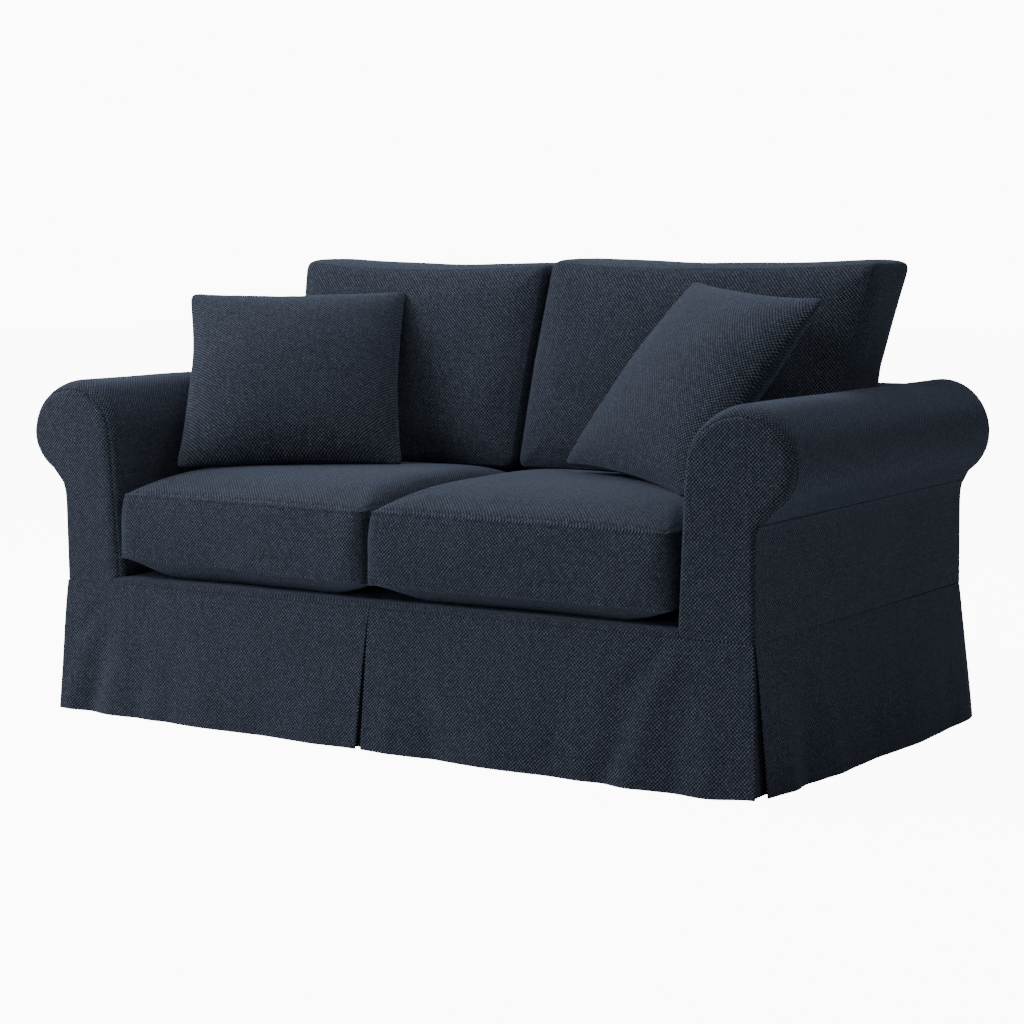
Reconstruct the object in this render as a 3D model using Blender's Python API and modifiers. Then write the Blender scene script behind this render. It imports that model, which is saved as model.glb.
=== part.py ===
"""Fitted slipcover for a two-seat roll-arm sofa, with its six cushions.

The cover hangs as it does over the sofa, which is left out, so it is hollow. +X runs to the
sitter's left-hand side of the seat as seen from the front, +Y to the back, and +Z up. The
origin is on the floor, under the middle of the cover.
"""

import math

import bmesh
import bpy
from mathutils import Matrix, Vector

# ---- Driving dimensions, in metres ------------------------------------------------------

CLOTH = 0.002              # thickness of the woven cloth
SEAM_GAP = 0.0003          # clearance between two panels at a seam

BODY_HALF = 0.8215         # centre line to the outside arm panel, in front
BODY_HALF_BACK = 0.8295    # and at the back
BODY_DEPTH = 0.860
FRONT = -BODY_DEPTH / 2
BACK = BODY_DEPTH / 2
INNER_BACK = BACK - CLOTH - SEAM_GAP

SKIRT_SEAM = 0.2745        # height of the seam that joins the body to the skirt
SKIRT_HEM = 0.0005
BODY_FOOT = SKIRT_SEAM + SEAM_GAP
DECK_TOP = 0.289
DECK_ROLL = 0.011          # radius of the deck's rolled front edge

SEAT_HALF = 0.667          # centre line to the inside arm, at the deck
ROLL_X = 0.790             # centre of the arm's roll
ROLL_Z = 0.583
ROLL_END = -55             # the roll ends this many degrees round

# The arm in front and at the back: the roll's radius across, the neck where the roll is sewn
# to the outside panel, and how far out that panel hangs.
ARM_FRONT = {"radius": 0.107, "neck_x": 0.829, "neck_z": 0.478, "panel": BODY_HALF}
ARM_BACK = {"radius": 0.101, "neck_x": 0.838, "neck_z": 0.4845, "panel": BODY_HALF_BACK}
PANEL_BEND = 0.012         # the panel bends out over about this distance under the neck
PANEL_DROPS = (0.0, 0.006, 0.014, 0.030)

# The two arms' rolls differ a little. top is how high a roll stands over its middle, under
# how deep it hangs, and reach how far it goes outwards, in radii. The left arm is -1 and the
# right arm 1.
ROLLS = {
    -1: {"top": 0.114, "under": 0.090, "reach": 1.09},
    1: {"top": 0.1035, "under": 0.097, "reach": 1.0},
}

FRAME_LEAN = 0.298         # how far the inside back leans for each metre of height
FRAME_FOOT = 0.215         # the inside back at the deck
FRAME_TOP = 0.677
FRAME_CORNER = 0.022       # radius of the inside back's top edge
INSIDE_BACK_DROP = 0.005   # its ends keep to the arm as it is this much lower down

# Each arm's front is rounded into its sides, and the seam of its facing lies on that
# rounding. Rows run from the foot inside, over the roll, to the foot outside.
ARM_EDGES = {
    # turn: degrees round the roll; inset and depth: where the rounding starts, in from the
    # arm's side, and where it ends, back from the front; seam: degrees round the rounding,
    # which past 90 lie behind it
    -1: [
        {"turn": 180, "inset": 0.033, "depth": 0.020, "seam": 46},
        {"turn": 110, "inset": 0.030, "depth": 0.045, "seam": 18},
        {"turn": 75, "inset": 0.028, "depth": 0.045, "seam": 18},
        {"turn": 45, "inset": 0.018, "depth": 0.025, "seam": 22},
        {"turn": 15, "inset": 0.005, "depth": 0.006, "seam": 45},
        {"turn": -90, "inset": 0.005, "depth": 0.006, "seam": 45},
    ],
    1: [
        {"turn": 180, "inset": 0.008, "depth": 0.010, "seam": 40},
        {"turn": 135, "inset": 0.028, "depth": 0.050, "seam": 18},
        {"turn": 60, "inset": 0.028, "depth": 0.050, "seam": 18},
        {"turn": 30, "inset": 0.024, "depth": 0.034, "seam": 30},
        {"turn": 0, "inset": 0.019, "depth": 0.016, "seam": 75},
        {"turn": -20, "inset": 0.019, "depth": 0.016, "seam": 100},
        {"turn": -60, "inset": 0.019, "depth": 0.016, "seam": 90},
        {"turn": -90, "inset": 0.009, "depth": 0.008, "seam": 60},
    ],
}
EDGE_FACET = 14            # degrees of the rounding to each side of the seam left flat
EDGE_END = 124             # the rounding is done by this many degrees
EDGE_RUN = 0.0003          # metres back for each degree past 90
EDGE_CLEAR = 0.080         # everything further back than this is behind the rounding
DECK_TUCK = 0.002          # how far the deck keeps from the arm where the arm's edge rounds

# The five skirt panels, each from its own left end to its right end as a person sees it
# from outside. Top ends lie on the skirt seam, and hem ends hang out from it.
SKIRTS = {
    "skirt_front_left": {
        "top": ((-0.8205, FRONT), (-0.0128, FRONT)),
        "hem": ((-0.8330, FRONT - 0.026), (-0.0350, FRONT - 0.026)),
        "lift": (0.001, 0.001),
    },
    "skirt_front_right": {
        "top": ((-0.0122, FRONT), (0.8205, FRONT)),
        "hem": ((-0.0235, FRONT - 0.026), (0.8360, FRONT - 0.025)),
        "lift": (0.001, 0.008),
    },
    "skirt_side_right": {
        "top": ((BODY_HALF, FRONT + 0.004), (BODY_HALF_BACK, BACK - 0.004)),
        "hem": ((0.8345, FRONT + 0.026), (0.8575, BACK + 0.002)),
        "lift": (0.002, 0.002),
    },
    "skirt_back": {
        "top": ((0.8285, BACK), (-0.8285, BACK)),
        "hem": ((0.8455, BACK + 0.018), (-0.8455, BACK + 0.018)),
        "lift": (0.003, 0.003),
    },
    "skirt_side_left": {
        "top": ((-BODY_HALF_BACK, BACK - 0.004), (-BODY_HALF, FRONT + 0.004)),
        "hem": ((-0.8555, BACK + 0.002), (-0.8500, FRONT + 0.010)),
        "lift": (0.002, 0.003),
    },
}

# Folds of the skirt. at: metres from the panel's left end at the hem; out: how far the
# cloth stands out (ridge) or in (trough) at the hem; half: half the fold's width; lean: how
# far along the fold sits at the seam; begin: part of the drop above which it fades out.
SKIRT_FOLDS = {
    "skirt_front_left": [
        {"at": 0.020, "out": 0.003, "half": 0.030, "lean": 0.080, "begin": 0.0},
        {"at": 0.085, "out": -0.008, "half": 0.028, "lean": 0.060, "begin": 0.0},
        {"at": 0.150, "out": 0.004, "half": 0.035, "lean": 0.030, "begin": 0.2},
        {"at": 0.220, "out": -0.003, "half": 0.020, "lean": 0.010, "begin": 0.5},
        {"at": 0.305, "out": -0.003, "half": 0.022, "lean": 0.015, "begin": 0.5},
        {"at": 0.400, "out": 0.004, "half": 0.060, "lean": 0.020, "begin": 0.2},
        {"at": 0.560, "out": -0.004, "half": 0.050, "lean": 0.020, "begin": 0.2},
        {"at": 0.690, "out": 0.003, "half": 0.040, "lean": 0.010, "begin": 0.4},
    ],
    "skirt_front_right": [
        {"at": 0.060, "out": 0.003, "half": 0.025, "lean": 0.000, "begin": 0.5},
        {"at": 0.170, "out": -0.006, "half": 0.035, "lean": -0.070, "begin": 0.1},
        {"at": 0.300, "out": 0.004, "half": 0.060, "lean": -0.020, "begin": 0.2},
        {"at": 0.430, "out": -0.004, "half": 0.040, "lean": 0.050, "begin": 0.3},
        {"at": 0.545, "out": -0.006, "half": 0.028, "lean": 0.105, "begin": 0.0},
        {"at": 0.600, "out": 0.006, "half": 0.030, "lean": 0.100, "begin": 0.0},
        {"at": 0.695, "out": -0.005, "half": 0.030, "lean": 0.030, "begin": 0.0},
        {"at": 0.765, "out": 0.004, "half": 0.028, "lean": 0.020, "begin": 0.1},
    ],
    "skirt_side_right": [
        {"at": 0.085, "out": 0.005, "half": 0.030, "lean": -0.050, "begin": 0.1},
        {"at": 0.135, "out": -0.005, "half": 0.028, "lean": 0.010, "begin": 0.1},
        {"at": 0.250, "out": 0.005, "half": 0.035, "lean": -0.060, "begin": 0.1},
        {"at": 0.400, "out": -0.004, "half": 0.050, "lean": 0.020, "begin": 0.2},
        {"at": 0.560, "out": 0.004, "half": 0.050, "lean": 0.010, "begin": 0.2},
        {"at": 0.720, "out": -0.003, "half": 0.040, "lean": 0.000, "begin": 0.3},
        {"at": 0.520, "out": 0.015, "half": 0.400, "lean": 0.000, "begin": 0.0},
    ],
    "skirt_back": [
        {"at": 0.150, "out": 0.005, "half": 0.050, "lean": -0.030, "begin": 0.1},
        {"at": 0.380, "out": -0.006, "half": 0.050, "lean": 0.020, "begin": 0.1},
        {"at": 0.700, "out": 0.005, "half": 0.070, "lean": -0.020, "begin": 0.2},
        {"at": 0.960, "out": -0.005, "half": 0.050, "lean": 0.030, "begin": 0.1},
        {"at": 1.250, "out": 0.005, "half": 0.060, "lean": 0.020, "begin": 0.1},
        {"at": 1.500, "out": -0.004, "half": 0.040, "lean": 0.020, "begin": 0.2},
    ],
    "skirt_side_left": [
        {"at": 0.160, "out": -0.004, "half": 0.040, "lean": 0.010, "begin": 0.2},
        {"at": 0.350, "out": 0.005, "half": 0.050, "lean": 0.020, "begin": 0.1},
        {"at": 0.540, "out": -0.005, "half": 0.045, "lean": -0.020, "begin": 0.1},
        {"at": 0.740, "out": 0.004, "half": 0.040, "lean": -0.030, "begin": 0.1},
    ],
}
SKIRT_EASE = 0.85          # below 1, the skirt kicks out just under its seam
SKIRT_COLUMN = 1.25        # width of its flat strips, in half widths of its narrowest fold

UNDERLAY_REACH = 0.085     # how far the cloth behind a kick pleat runs to each side of it
FRONT_UNDERLAY_HEM = 0.003     # height of its hem in front
CORNER_UNDERLAY_HEM = 0.004    # and at the corners
UNDERLAY_INSET = 0.011     # how far it hangs behind the skirt at the hem

# Seat cushions: two boxed cushions side by side on the deck.
SEATS = {
    # high and low: heights of the two seams at its left and right ends
    "seat_cushion_left": {
        "left": -0.660, "right": -0.0163, "high": (0.463, 0.459), "low": (0.332, 0.321),
    },
    "seat_cushion_right": {
        "left": -0.0157, "right": 0.661, "high": (0.461, 0.4565), "low": (0.321, 0.321),
    },
}
SEAT_FRONT = FRONT - 0.011
SEAT_BACK = 0.200
SEAT_UNDER = DECK_TOP + SEAM_GAP
SEAT_TOP = 0.509           # the highest point of the crown
SEAT_FULL_ACROSS = 10      # higher keeps the crown full nearer to the sides
SEAT_FULL_DEEP = 2.5       # and nearer to the front and the back
SEAT_BELLY = {1: 0.010, -1: 0.002}  # how far the boxing swells past its high and low seams
SEAT_PULL = 0.006          # how far an edge draws in between its corners
SEAT_ROUND_ACROSS = 0.42   # part of the half width over which the underside curves up
SEAT_ROUND_DEEP = 0.17     # and part of the half depth
# Radius of its corners in plan at its left and its right end, at the seams and half way
# between them.
SEAT_CORNERS = {-1: {"seam": 0.008, "middle": 0.020}, 1: {"seam": 0.028, "middle": 0.045}}

# Back cushions: two soft boxed cushions that stand on the seat and lean on the back.
BACK_CUSHIONS = {
    # left and right ends just over the arms, how much further out they are at the top (flare)
    # and how much higher the top is at each end (tilt)
    "back_cushion_left": {
        "left": -0.678, "right": -0.0405, "flare": (-0.022, 0.009), "tilt": (0.006, -0.009),
    },
    "back_cushion_right": {
        "left": -0.0335, "right": 0.705, "flare": (0.009, 0.034), "tilt": (0.001, -0.011),
    },
}
BACK_FOOT = 0.4958
BACK_TOP = 0.936
BACK_FRONT = 0.097         # the front face at the foot
BACK_THICK = FRAME_FOOT + FRAME_LEAN * (BACK_FOOT - DECK_TOP) - SEAM_GAP - BACK_FRONT
BACK_SQUEEZE = 0.003       # clearance from a back cushion's side to the inside arm
BACK_ROUND = 0.026         # radius of its soft edges
BACK_SWELL = 0.020         # how far the front face swells past its edges
BACK_DIP = 0.011           # how far the top edge dips between its corners

# Throw cushions: two square knife-edged cushions propped in the corners of the seat.
THROW_THICK = 0.150
THROW_RIM = 0.003          # half the thickness of the sewn edge
THROW_PULL = 0.016
THROWS = {
    # size: across and up; place: the middle; turn: about the upright axis; lean: back from
    # upright; roll: in its own plane. All angles are in degrees.
    "throw_cushion_left": {
        "size": (0.478, 0.468), "place": (-0.4897, -0.0662, 0.6894), "turn": 34, "lean": 40, "roll": 0,
    },
    "throw_cushion_right": {
        "size": (0.469, 0.462), "place": (0.4720, -0.0380, 0.6941), "turn": -27, "lean": 39, "roll": -4.4,
    },
}

CLOTH_COLOUR = (0.030, 0.038, 0.056, 1.0)
CLOTH_ROUGHNESS = 0.92


# ---- Helpers ----------------------------------------------------------------------------

def clear_scene():
    for obj in list(bpy.data.objects):
        bpy.data.objects.remove(obj, do_unlink=True)


def cloth_material(name):
    """The woven cloth's plain finish, one material for each piece."""
    material = bpy.data.materials.new(name + "_cloth")
    material.use_nodes = True
    shader = material.node_tree.nodes["Principled BSDF"]
    shader.inputs["Base Color"].default_value = CLOTH_COLOUR
    shader.inputs["Roughness"].default_value = CLOTH_ROUGHNESS
    shader.inputs["Metallic"].default_value = 0.0
    return material


def add_object(name, shape, collection):
    """Turn a bmesh into a named object with its own material."""
    mesh = bpy.data.meshes.new(name)
    shape.to_mesh(mesh)
    shape.free()
    mesh.materials.append(cloth_material(name))
    obj = bpy.data.objects.new(name, mesh)
    collection.objects.link(obj)
    return obj


def thicken(obj):
    """Give an open surface the cloth's thickness, on its inner side."""
    solidify = obj.modifiers.new("cloth_thickness", "SOLIDIFY")
    solidify.thickness = CLOTH
    solidify.offset = -1.0
    solidify.use_even_offset = True
    solidify.use_quality_normals = True
    return obj


def grid_shape(rows, flip=False):
    """Lay a flat grid through rows of points. The outer side is where columns turn into
    rows by the right-hand rule, or the other side when flip is set."""
    columns = len(rows[0])
    shape = bmesh.new()
    bmesh.ops.create_grid(shape, x_segments=columns - 1, y_segments=len(rows) - 1, size=1.0)
    shape.verts.ensure_lookup_table()
    for index, vert in enumerate(shape.verts):
        vert.co = rows[index // columns][index % columns]
    if flip:
        bmesh.ops.reverse_faces(shape, faces=shape.faces)
    return shape


def sheet(name, rows, collection, flip=False):
    """A panel of cloth through rows of points."""
    return thicken(add_object(name, grid_shape(rows, flip), collection))


def flat_panel(name, outline, facing, collection):
    """A flat panel of cloth inside an outline, whose outer side faces a given way."""
    shape = bmesh.new()
    face = shape.faces.new([shape.verts.new(point) for point in outline])
    face.normal_update()
    if face.normal.dot(facing) < 0:
        face.normal_flip()
    return thicken(add_object(name, shape, collection))


def spread(start, end, count):
    """Evenly spaced numbers from start to end, both included."""
    return [start + (end - start) * step / (count - 1) for step in range(count)]


def between(table, key, value, column):
    """Read a column of a table at a value of its key, in a straight line between rows."""
    if value >= table[0][key]:
        return table[0][column]
    for upper, lower in zip(table, table[1:]):
        if value >= lower[key]:
            part = (upper[key] - value) / (upper[key] - lower[key])
            return upper[column] + part * (lower[column] - upper[column])
    return table[-1][column]


# ---- Arms -------------------------------------------------------------------------------

def arm_at(size, y):
    """A size of the arm at a place between its front and its back."""
    return ARM_FRONT[size] + (ARM_BACK[size] - ARM_FRONT[size]) * (y - FRONT) / BODY_DEPTH


def inner_face_x(side, height, y):
    """Centre line to the inside arm at a height, up to the crest of the roll."""
    radius = arm_at("radius", y)
    if height <= ROLL_Z:
        rise = (height - SKIRT_SEAM) / (ROLL_Z - SKIRT_SEAM)
        return SEAT_HALF + (ROLL_X - radius - SEAT_HALF) * rise
    part = (height - ROLL_Z) / ROLLS[side]["top"]
    return ROLL_X - radius * math.sqrt(max(1 - part ** 2, 0.0))


def panel_point(y, down):
    """Centre line and height of the outside panel, some way down from the neck."""
    height = arm_at("neck_z", y) - down
    bend = math.exp(-down / PANEL_BEND)
    return arm_at("panel", y) + (arm_at("neck_x", y) - arm_at("panel", y)) * bend, height


def panel_section(y):
    """The outside panel's outline, from the neck down to its foot."""
    return [panel_point(y, down) for down in (*PANEL_DROPS, arm_at("neck_z", y) - BODY_FOOT)]


def arm_section(side, y):
    """The arm's outline from its foot inside, over the roll, to the neck outside. Each
    point comes with how far round the roll it is, in degrees."""
    roll, radius = ROLLS[side], arm_at("radius", y)
    points = []
    for height in spread(BODY_FOOT, ROLL_Z, 5)[:-1]:
        lean = (height - BODY_FOOT) / (ROLL_Z - BODY_FOOT)
        points.append((SEAT_HALF + (ROLL_X - radius - SEAT_HALF) * lean, height, 180))
    for turn in spread(180, ROLL_END, 13):
        angle = math.radians(turn)
        wide = radius * (roll["reach"] if turn < 90 else 1.0)
        high = roll["top"] if turn > 0 else roll["under"]
        points.append((ROLL_X + wide * math.cos(angle), ROLL_Z + high * math.sin(angle), turn))
    last_x, last_z, last_turn = points[-1]
    neck_x, neck_z = panel_point(y, 0.0)
    points.append(((last_x + neck_x) / 2, (last_z + neck_z) / 2, (last_turn - 90) / 2))
    points.append((neck_x, neck_z, -90))
    return points


def arm_edge(side):
    """The arm front's outline with its rounding: for each point its place, the way in from
    the side, and its row of ARM_EDGES, worked out for its place."""
    outline = arm_section(side, FRONT) + [(x, z, -90) for x, z in panel_section(FRONT)[1:]]
    edge = []
    for index, (x, z, turn) in enumerate(outline):
        ways = []
        for start, end in ((index - 1, index), (index, index + 1)):
            if start >= 0 and end < len(outline):
                along = Vector((outline[end][0] - outline[start][0],
                                outline[end][1] - outline[start][1])).normalized()
                ways.append(Vector((along.y, -along.x)))
        inward = sum(ways, Vector((0.0, 0.0))).normalized()
        inward /= inward.dot(ways[0])
        if index in (0, len(outline) - 1):
            inward.y = 0.0
        row = {column: between(ARM_EDGES[side], "turn", turn, column)
               for column in ("inset", "depth", "seam")}
        edge.append((Vector((x, z)), inward, row))
    return edge


def edge_point(place, inward, row, swing):
    """A point of the rounding, some degrees round it."""
    angle = math.radians(min(swing, 90))
    spot = place + inward * row["inset"] * (1 - math.sin(angle))
    back = row["depth"] * (1 - math.cos(angle)) + EDGE_RUN * max(swing - 90, 0)
    return Vector((spot.x, FRONT + back, spot.y))


def seam_point(place, inward, row, facing):
    """The seam lies in the middle of a flat facet, so that both panels end square to it."""
    before = edge_point(place, inward, row, row["seam"] - EDGE_FACET)
    after = edge_point(place, inward, row, row["seam"] + EDGE_FACET)
    gap = (after - before).normalized() * SEAM_GAP / 2
    return (before + after) / 2 + (-gap if facing else gap)


def on_side(side, point):
    """A point of the right-hand arm, or its mirror image on the left."""
    return Vector((side * point.x, point.y, point.z))


def make_arm(side, name, collection):
    """Inside arm and roll, from the facing's seam to the back, as one panel."""
    edge = arm_edge(side)[:-len(PANEL_DROPS)]
    grid = [[on_side(side, seam_point(*point, False)) for point in edge]]
    for part in spread(0, 1, 4):
        row = []
        for place, inward, sizes in edge:
            start = sizes["seam"] + EDGE_FACET
            swing = start + part * (EDGE_END - start)
            row.append(on_side(side, edge_point(place, inward, sizes, swing)))
        grid.append(row)
    for y in spread(FRONT + EDGE_CLEAR, INNER_BACK, 4):
        grid.append([(side * x, y, z) for x, z, _ in arm_section(side, y)])
    return sheet(name, grid, collection, flip=side < 0)


def make_arm_front(side, name, collection):
    """The facing on the front of the arm, rounded into its sides."""
    edge = arm_edge(side)
    grid = []
    for part in (0.0, 0.5, 1.0):
        row = []
        for place, inward, sizes in edge:
            swing = part * min(sizes["seam"] - EDGE_FACET, 90)
            row.append(on_side(side, edge_point(place, inward, sizes, swing)))
        grid.append(row)
    grid.append([on_side(side, seam_point(*point, True)) for point in edge])
    shape = grid_shape(grid, flip=side < 0)
    middle = shape.faces.new(shape.verts[:len(edge)])
    middle.normal_update()
    if middle.normal.y > 0:
        middle.normal_flip()
    return thicken(add_object(name, shape, collection))


def make_outside_arm(side, name, collection):
    """The panel under the roll, from the facing's seam to the back."""
    depths = spread(FRONT + EDGE_CLEAR, INNER_BACK, 4)
    outlines = [panel_section(y) for y in depths]
    grid = []
    for index, (place, inward, sizes) in enumerate(arm_edge(side)[-len(outlines[0]):]):
        row = [seam_point(place, inward, sizes, False)]
        for swing in (sizes["seam"] + EDGE_FACET, 90, EDGE_END):
            row.append(edge_point(place, inward, sizes, swing))
        row += [Vector((outline[index][0], y, outline[index][1])) for y, outline in zip(depths, outlines)]
        down = SEAM_GAP if index == 0 else 0.0
        grid.append([on_side(side, point) - Vector((0.0, 0.0, down)) for point in row])
    return sheet(name, grid[::-1], collection, flip=side < 0)


# ---- Seat and back of the body ----------------------------------------------------------

def deck_end(side, y):
    """Centre line to the deck's end, which follows the rounded front of the inside arm."""
    edge = ARM_EDGES[side][0]
    reach = min((y - FRONT) / edge["depth"], 1.0)
    if reach == 1.0:
        return SEAT_HALF - SEAM_GAP
    curve = 1 - math.sqrt(1 - (1 - reach) ** 2)
    return SEAT_HALF + edge["inset"] * curve - DECK_TUCK


def make_deck(collection):
    """The seat deck, rolled over its front edge down to the skirt seam."""
    rows = [(FRONT, BODY_FOOT)]
    for turn in (0, 30, 60, 90):
        swing = math.radians(turn)
        rows.append((FRONT + DECK_ROLL * (1 - math.cos(swing)),
                     DECK_TOP - DECK_ROLL * (1 - math.sin(swing))))
    for y in (FRONT + 0.020, FRONT + 0.200, 0.0, FRAME_FOOT - CLOTH - SEAM_GAP):
        rows.append((y, DECK_TOP))
    grid = []
    for y, z in rows:
        across = spread(-deck_end(-1, y + CLOTH), deck_end(1, y + CLOTH), 7)
        grid.append([(x, y, z) for x in across])
    return sheet("deck", grid, collection)


def inside_back_y(height):
    return FRAME_FOOT + FRAME_LEAN * (height - DECK_TOP)


def make_inside_back(collection):
    """The inside back, from just under the deck over the top of the back frame."""
    bend = FRAME_TOP - FRAME_CORNER
    heights = spread(BODY_FOOT + 0.003, ROLL_Z, 4) + spread(ROLL_Z, bend, 4)[1:]
    rows = [(inside_back_y(z), z) for z in heights]
    start_y = rows[-1][0]
    for turn in (30, 60, 90):
        swing = math.radians(turn)
        rows.append((start_y + FRAME_CORNER * (1 - math.cos(swing)) + 0.005 * math.sin(swing),
                     bend + FRAME_CORNER * math.sin(swing)))
    rows.append((INNER_BACK - 0.030, FRAME_TOP + 0.002))
    rows.append((INNER_BACK, FRAME_TOP - 0.002))
    grid = []
    for y, z in rows:
        left, right = (inner_face_x(side, min(z, FRAME_TOP) - INSIDE_BACK_DROP, y) - SEAM_GAP
                       for side in (-1, 1))
        grid.append([(x, y, z) for x in spread(-left, right, 9)])
    return sheet("inside_back", grid, collection)


def make_outside_back(collection):
    """The flat outside back, with an ear over the end of each arm's roll."""
    left, right = ([(side * x, z) for x, z, turn in arm_section(side, BACK) if turn <= 105]
                   + [(side * x, z) for x, z in panel_section(BACK)[1:]] for side in (-1, 1))
    top_edge = [(x, FRAME_TOP - 0.003) for x in (-0.700, 0.0, 0.700)]
    outline = [(x, BACK, z) for x, z in left[::-1] + top_edge + right]
    return flat_panel("outside_back", outline, Vector((0, 1, 0)), collection)


# ---- Skirt ------------------------------------------------------------------------------

def fade(value):
    """A soft step from 0 to 1."""
    value = min(max(value, 0.0), 1.0)
    return value * value * (3 - 2 * value)


def fold_offset(folds, along, drop):
    """How far the skirt stands out at a distance along its hem and a part of its drop."""
    total = 0.0
    for fold in folds:
        centre = fold["at"] + fold["lean"] * (1 - drop)
        bell = math.exp(-((along - centre) / fold["half"]) ** 2)
        strength = fade((drop - fold["begin"]) / (1 - fold["begin"]))
        total += fold["out"] * bell * (0.25 * drop + 0.75 * strength)
    return total


def skirt_point(panel, folds, part, drop):
    """A point of a skirt panel: part runs along it, drop from its seam to its hem."""
    top = Vector(panel["top"][0]).lerp(Vector(panel["top"][1]), part)
    hem = Vector(panel["hem"][0]).lerp(Vector(panel["hem"][1]), part)
    length = (Vector(panel["hem"][1]) - Vector(panel["hem"][0])).length
    along = (Vector(panel["top"][1]) - Vector(panel["top"][0])).normalized()
    outward = Vector((along.y, -along.x))
    flat = top.lerp(hem, drop ** SKIRT_EASE)
    # The ends hang free of the underlay, so the folds die out there.
    ends = fade(part * length / 0.03) * fade((1 - part) * length / 0.03)
    flat += outward * fold_offset(folds, part * length, drop) * (0.3 + 0.7 * ends)
    near = [math.exp(-(part * length / 0.06) ** 2), math.exp(-((1 - part) * length / 0.06) ** 2)]
    lift = panel["lift"][0] * near[0] + panel["lift"][1] * near[1]
    return Vector((flat.x, flat.y, SKIRT_SEAM * (1 - drop) + (SKIRT_HEM + lift) * drop))


def make_skirt(name, collection):
    panel, folds = SKIRTS[name], SKIRT_FOLDS[name]
    length = (Vector(panel["top"][1]) - Vector(panel["top"][0])).length
    columns = round(length / (SKIRT_COLUMN * min(fold["half"] for fold in folds)))
    grid = []
    for drop in (1.0, 0.72, 0.4, 0.12, 0.0):
        grid.append([skirt_point(panel, folds, part, drop) for part in spread(0, 1, columns + 1)])
    return sheet(name, grid, collection)


def underlay_inset(drop):
    """How far the underlay hangs behind the skirt at a part of its drop."""
    return CLOTH + 2 * SEAM_GAP + UNDERLAY_INSET * fade(drop * 1.4)


def make_front_underlay(collection):
    """The flat piece behind the centre kick pleat."""
    grid = []
    for height in (FRONT_UNDERLAY_HEM, 0.080, 0.160, 0.230, SKIRT_SEAM - 0.002):
        drop = 1 - height / SKIRT_SEAM
        shift = -0.012 - 0.017 * drop
        y = FRONT - 0.026 * drop ** SKIRT_EASE + underlay_inset(drop)
        across = spread(shift - UNDERLAY_REACH, shift + UNDERLAY_REACH, 5)
        grid.append([(x, y, height) for x in across])
    return sheet("underlay_front", grid, collection)


def make_corner_underlay(side_x, side_y, name, collection):
    """The folded piece behind the kick pleat at one corner of the body."""
    grid = []
    for height in (CORNER_UNDERLAY_HEM, 0.080, 0.160, 0.230, SKIRT_SEAM - 0.002):
        drop = 1 - height / SKIRT_SEAM
        inset = underlay_inset(drop)
        x = (BODY_HALF if side_y < 0 else BODY_HALF_BACK) + 0.012 * drop - inset
        y = BODY_DEPTH / 2 + (0.020 if side_y < 0 else 0.010) * drop - inset
        path = [(x - UNDERLAY_REACH, y), (x - 0.040, y), (x - 0.008, y), (x - 0.002, y - 0.002),
                (x, y - 0.008), (x, y - 0.040), (x, y - UNDERLAY_REACH)]
        grid.append([(side_x * px, side_y * py, height) for px, py in path])
    return sheet(name, grid, collection, flip=side_x * side_y > 0)


# ---- Cushions ---------------------------------------------------------------------------

def cut_block(cuts):
    """A block from -1 to 1 on each axis, cut across at the given places on each."""
    block = bmesh.new()
    bmesh.ops.create_cube(block, size=2.0)
    for axis, places in enumerate(cuts):
        normal = Vector([1.0 if index == axis else 0.0 for index in range(3)])
        for place in places:
            everything = block.verts[:] + block.edges[:] + block.faces[:]
            bmesh.ops.bisect_plane(block, geom=everything, plane_co=normal * place, plane_no=normal)
    return block


def mirrored_cuts(*places):
    """Cuts at the given distances to both sides of the middle."""
    return sorted({side * place for place in places for side in (-1, 1)})


def round_corner(x, y, half_x, half_y, radius):
    """Move a point of a rectangle onto the same rectangle with rounded corners."""
    over_x, over_y = abs(x) - half_x + radius, abs(y) - half_y + radius
    if min(over_x, over_y) <= 0:
        return x, y
    shrink = max(over_x, over_y) / math.hypot(over_x, over_y)
    return (math.copysign(half_x - radius + over_x * shrink, x),
            math.copysign(half_y - radius + over_y * shrink, y))


def seat_point(span, u, v, w):
    """A point of a seat cushion, from its place on a block from -1 to 1 on each axis."""
    half, middle = (span["right"] - span["left"]) / 2, (span["right"] + span["left"]) / 2
    deep, centre_y = (SEAT_BACK - SEAT_FRONT) / 2, (SEAT_BACK + SEAT_FRONT) / 2
    part = (1 + u) / 2
    high = span["high"][0] * (1 - part) + span["high"][1] * part
    low = span["low"][0] * (1 - part) + span["low"][1] * part
    slim = SEAT_BELLY[1 if w > 0 else -1] * w * w
    x = u * (half - slim - SEAT_PULL * (1 - v * v))
    y = v * (deep - slim - SEAT_PULL * (1 - u * u))
    corner = SEAT_CORNERS[1 if u > 0 else -1]
    radius = corner["middle"] + (corner["seam"] - corner["middle"]) * w * w
    x, y = round_corner(x, y, half - slim, deep - slim, radius)
    z = (low + high) / 2 + w * (high - low) / 2
    if w > 0.999:
        full = (1 - abs(u) ** SEAT_FULL_ACROSS) * (1 - abs(v) ** SEAT_FULL_DEEP)
        z += (SEAT_TOP - high) * math.sqrt(max(full, 0.0))
    if w < -0.999:
        flat = [1 - max(1 - (1 - abs(place)) / size, 0.0) ** 2
                for place, size in ((u, SEAT_ROUND_ACROSS), (v, SEAT_ROUND_DEEP))]
        z -= (low - SEAT_UNDER) * flat[0] * flat[1]
    return middle + x, centre_y + y, z


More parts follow.
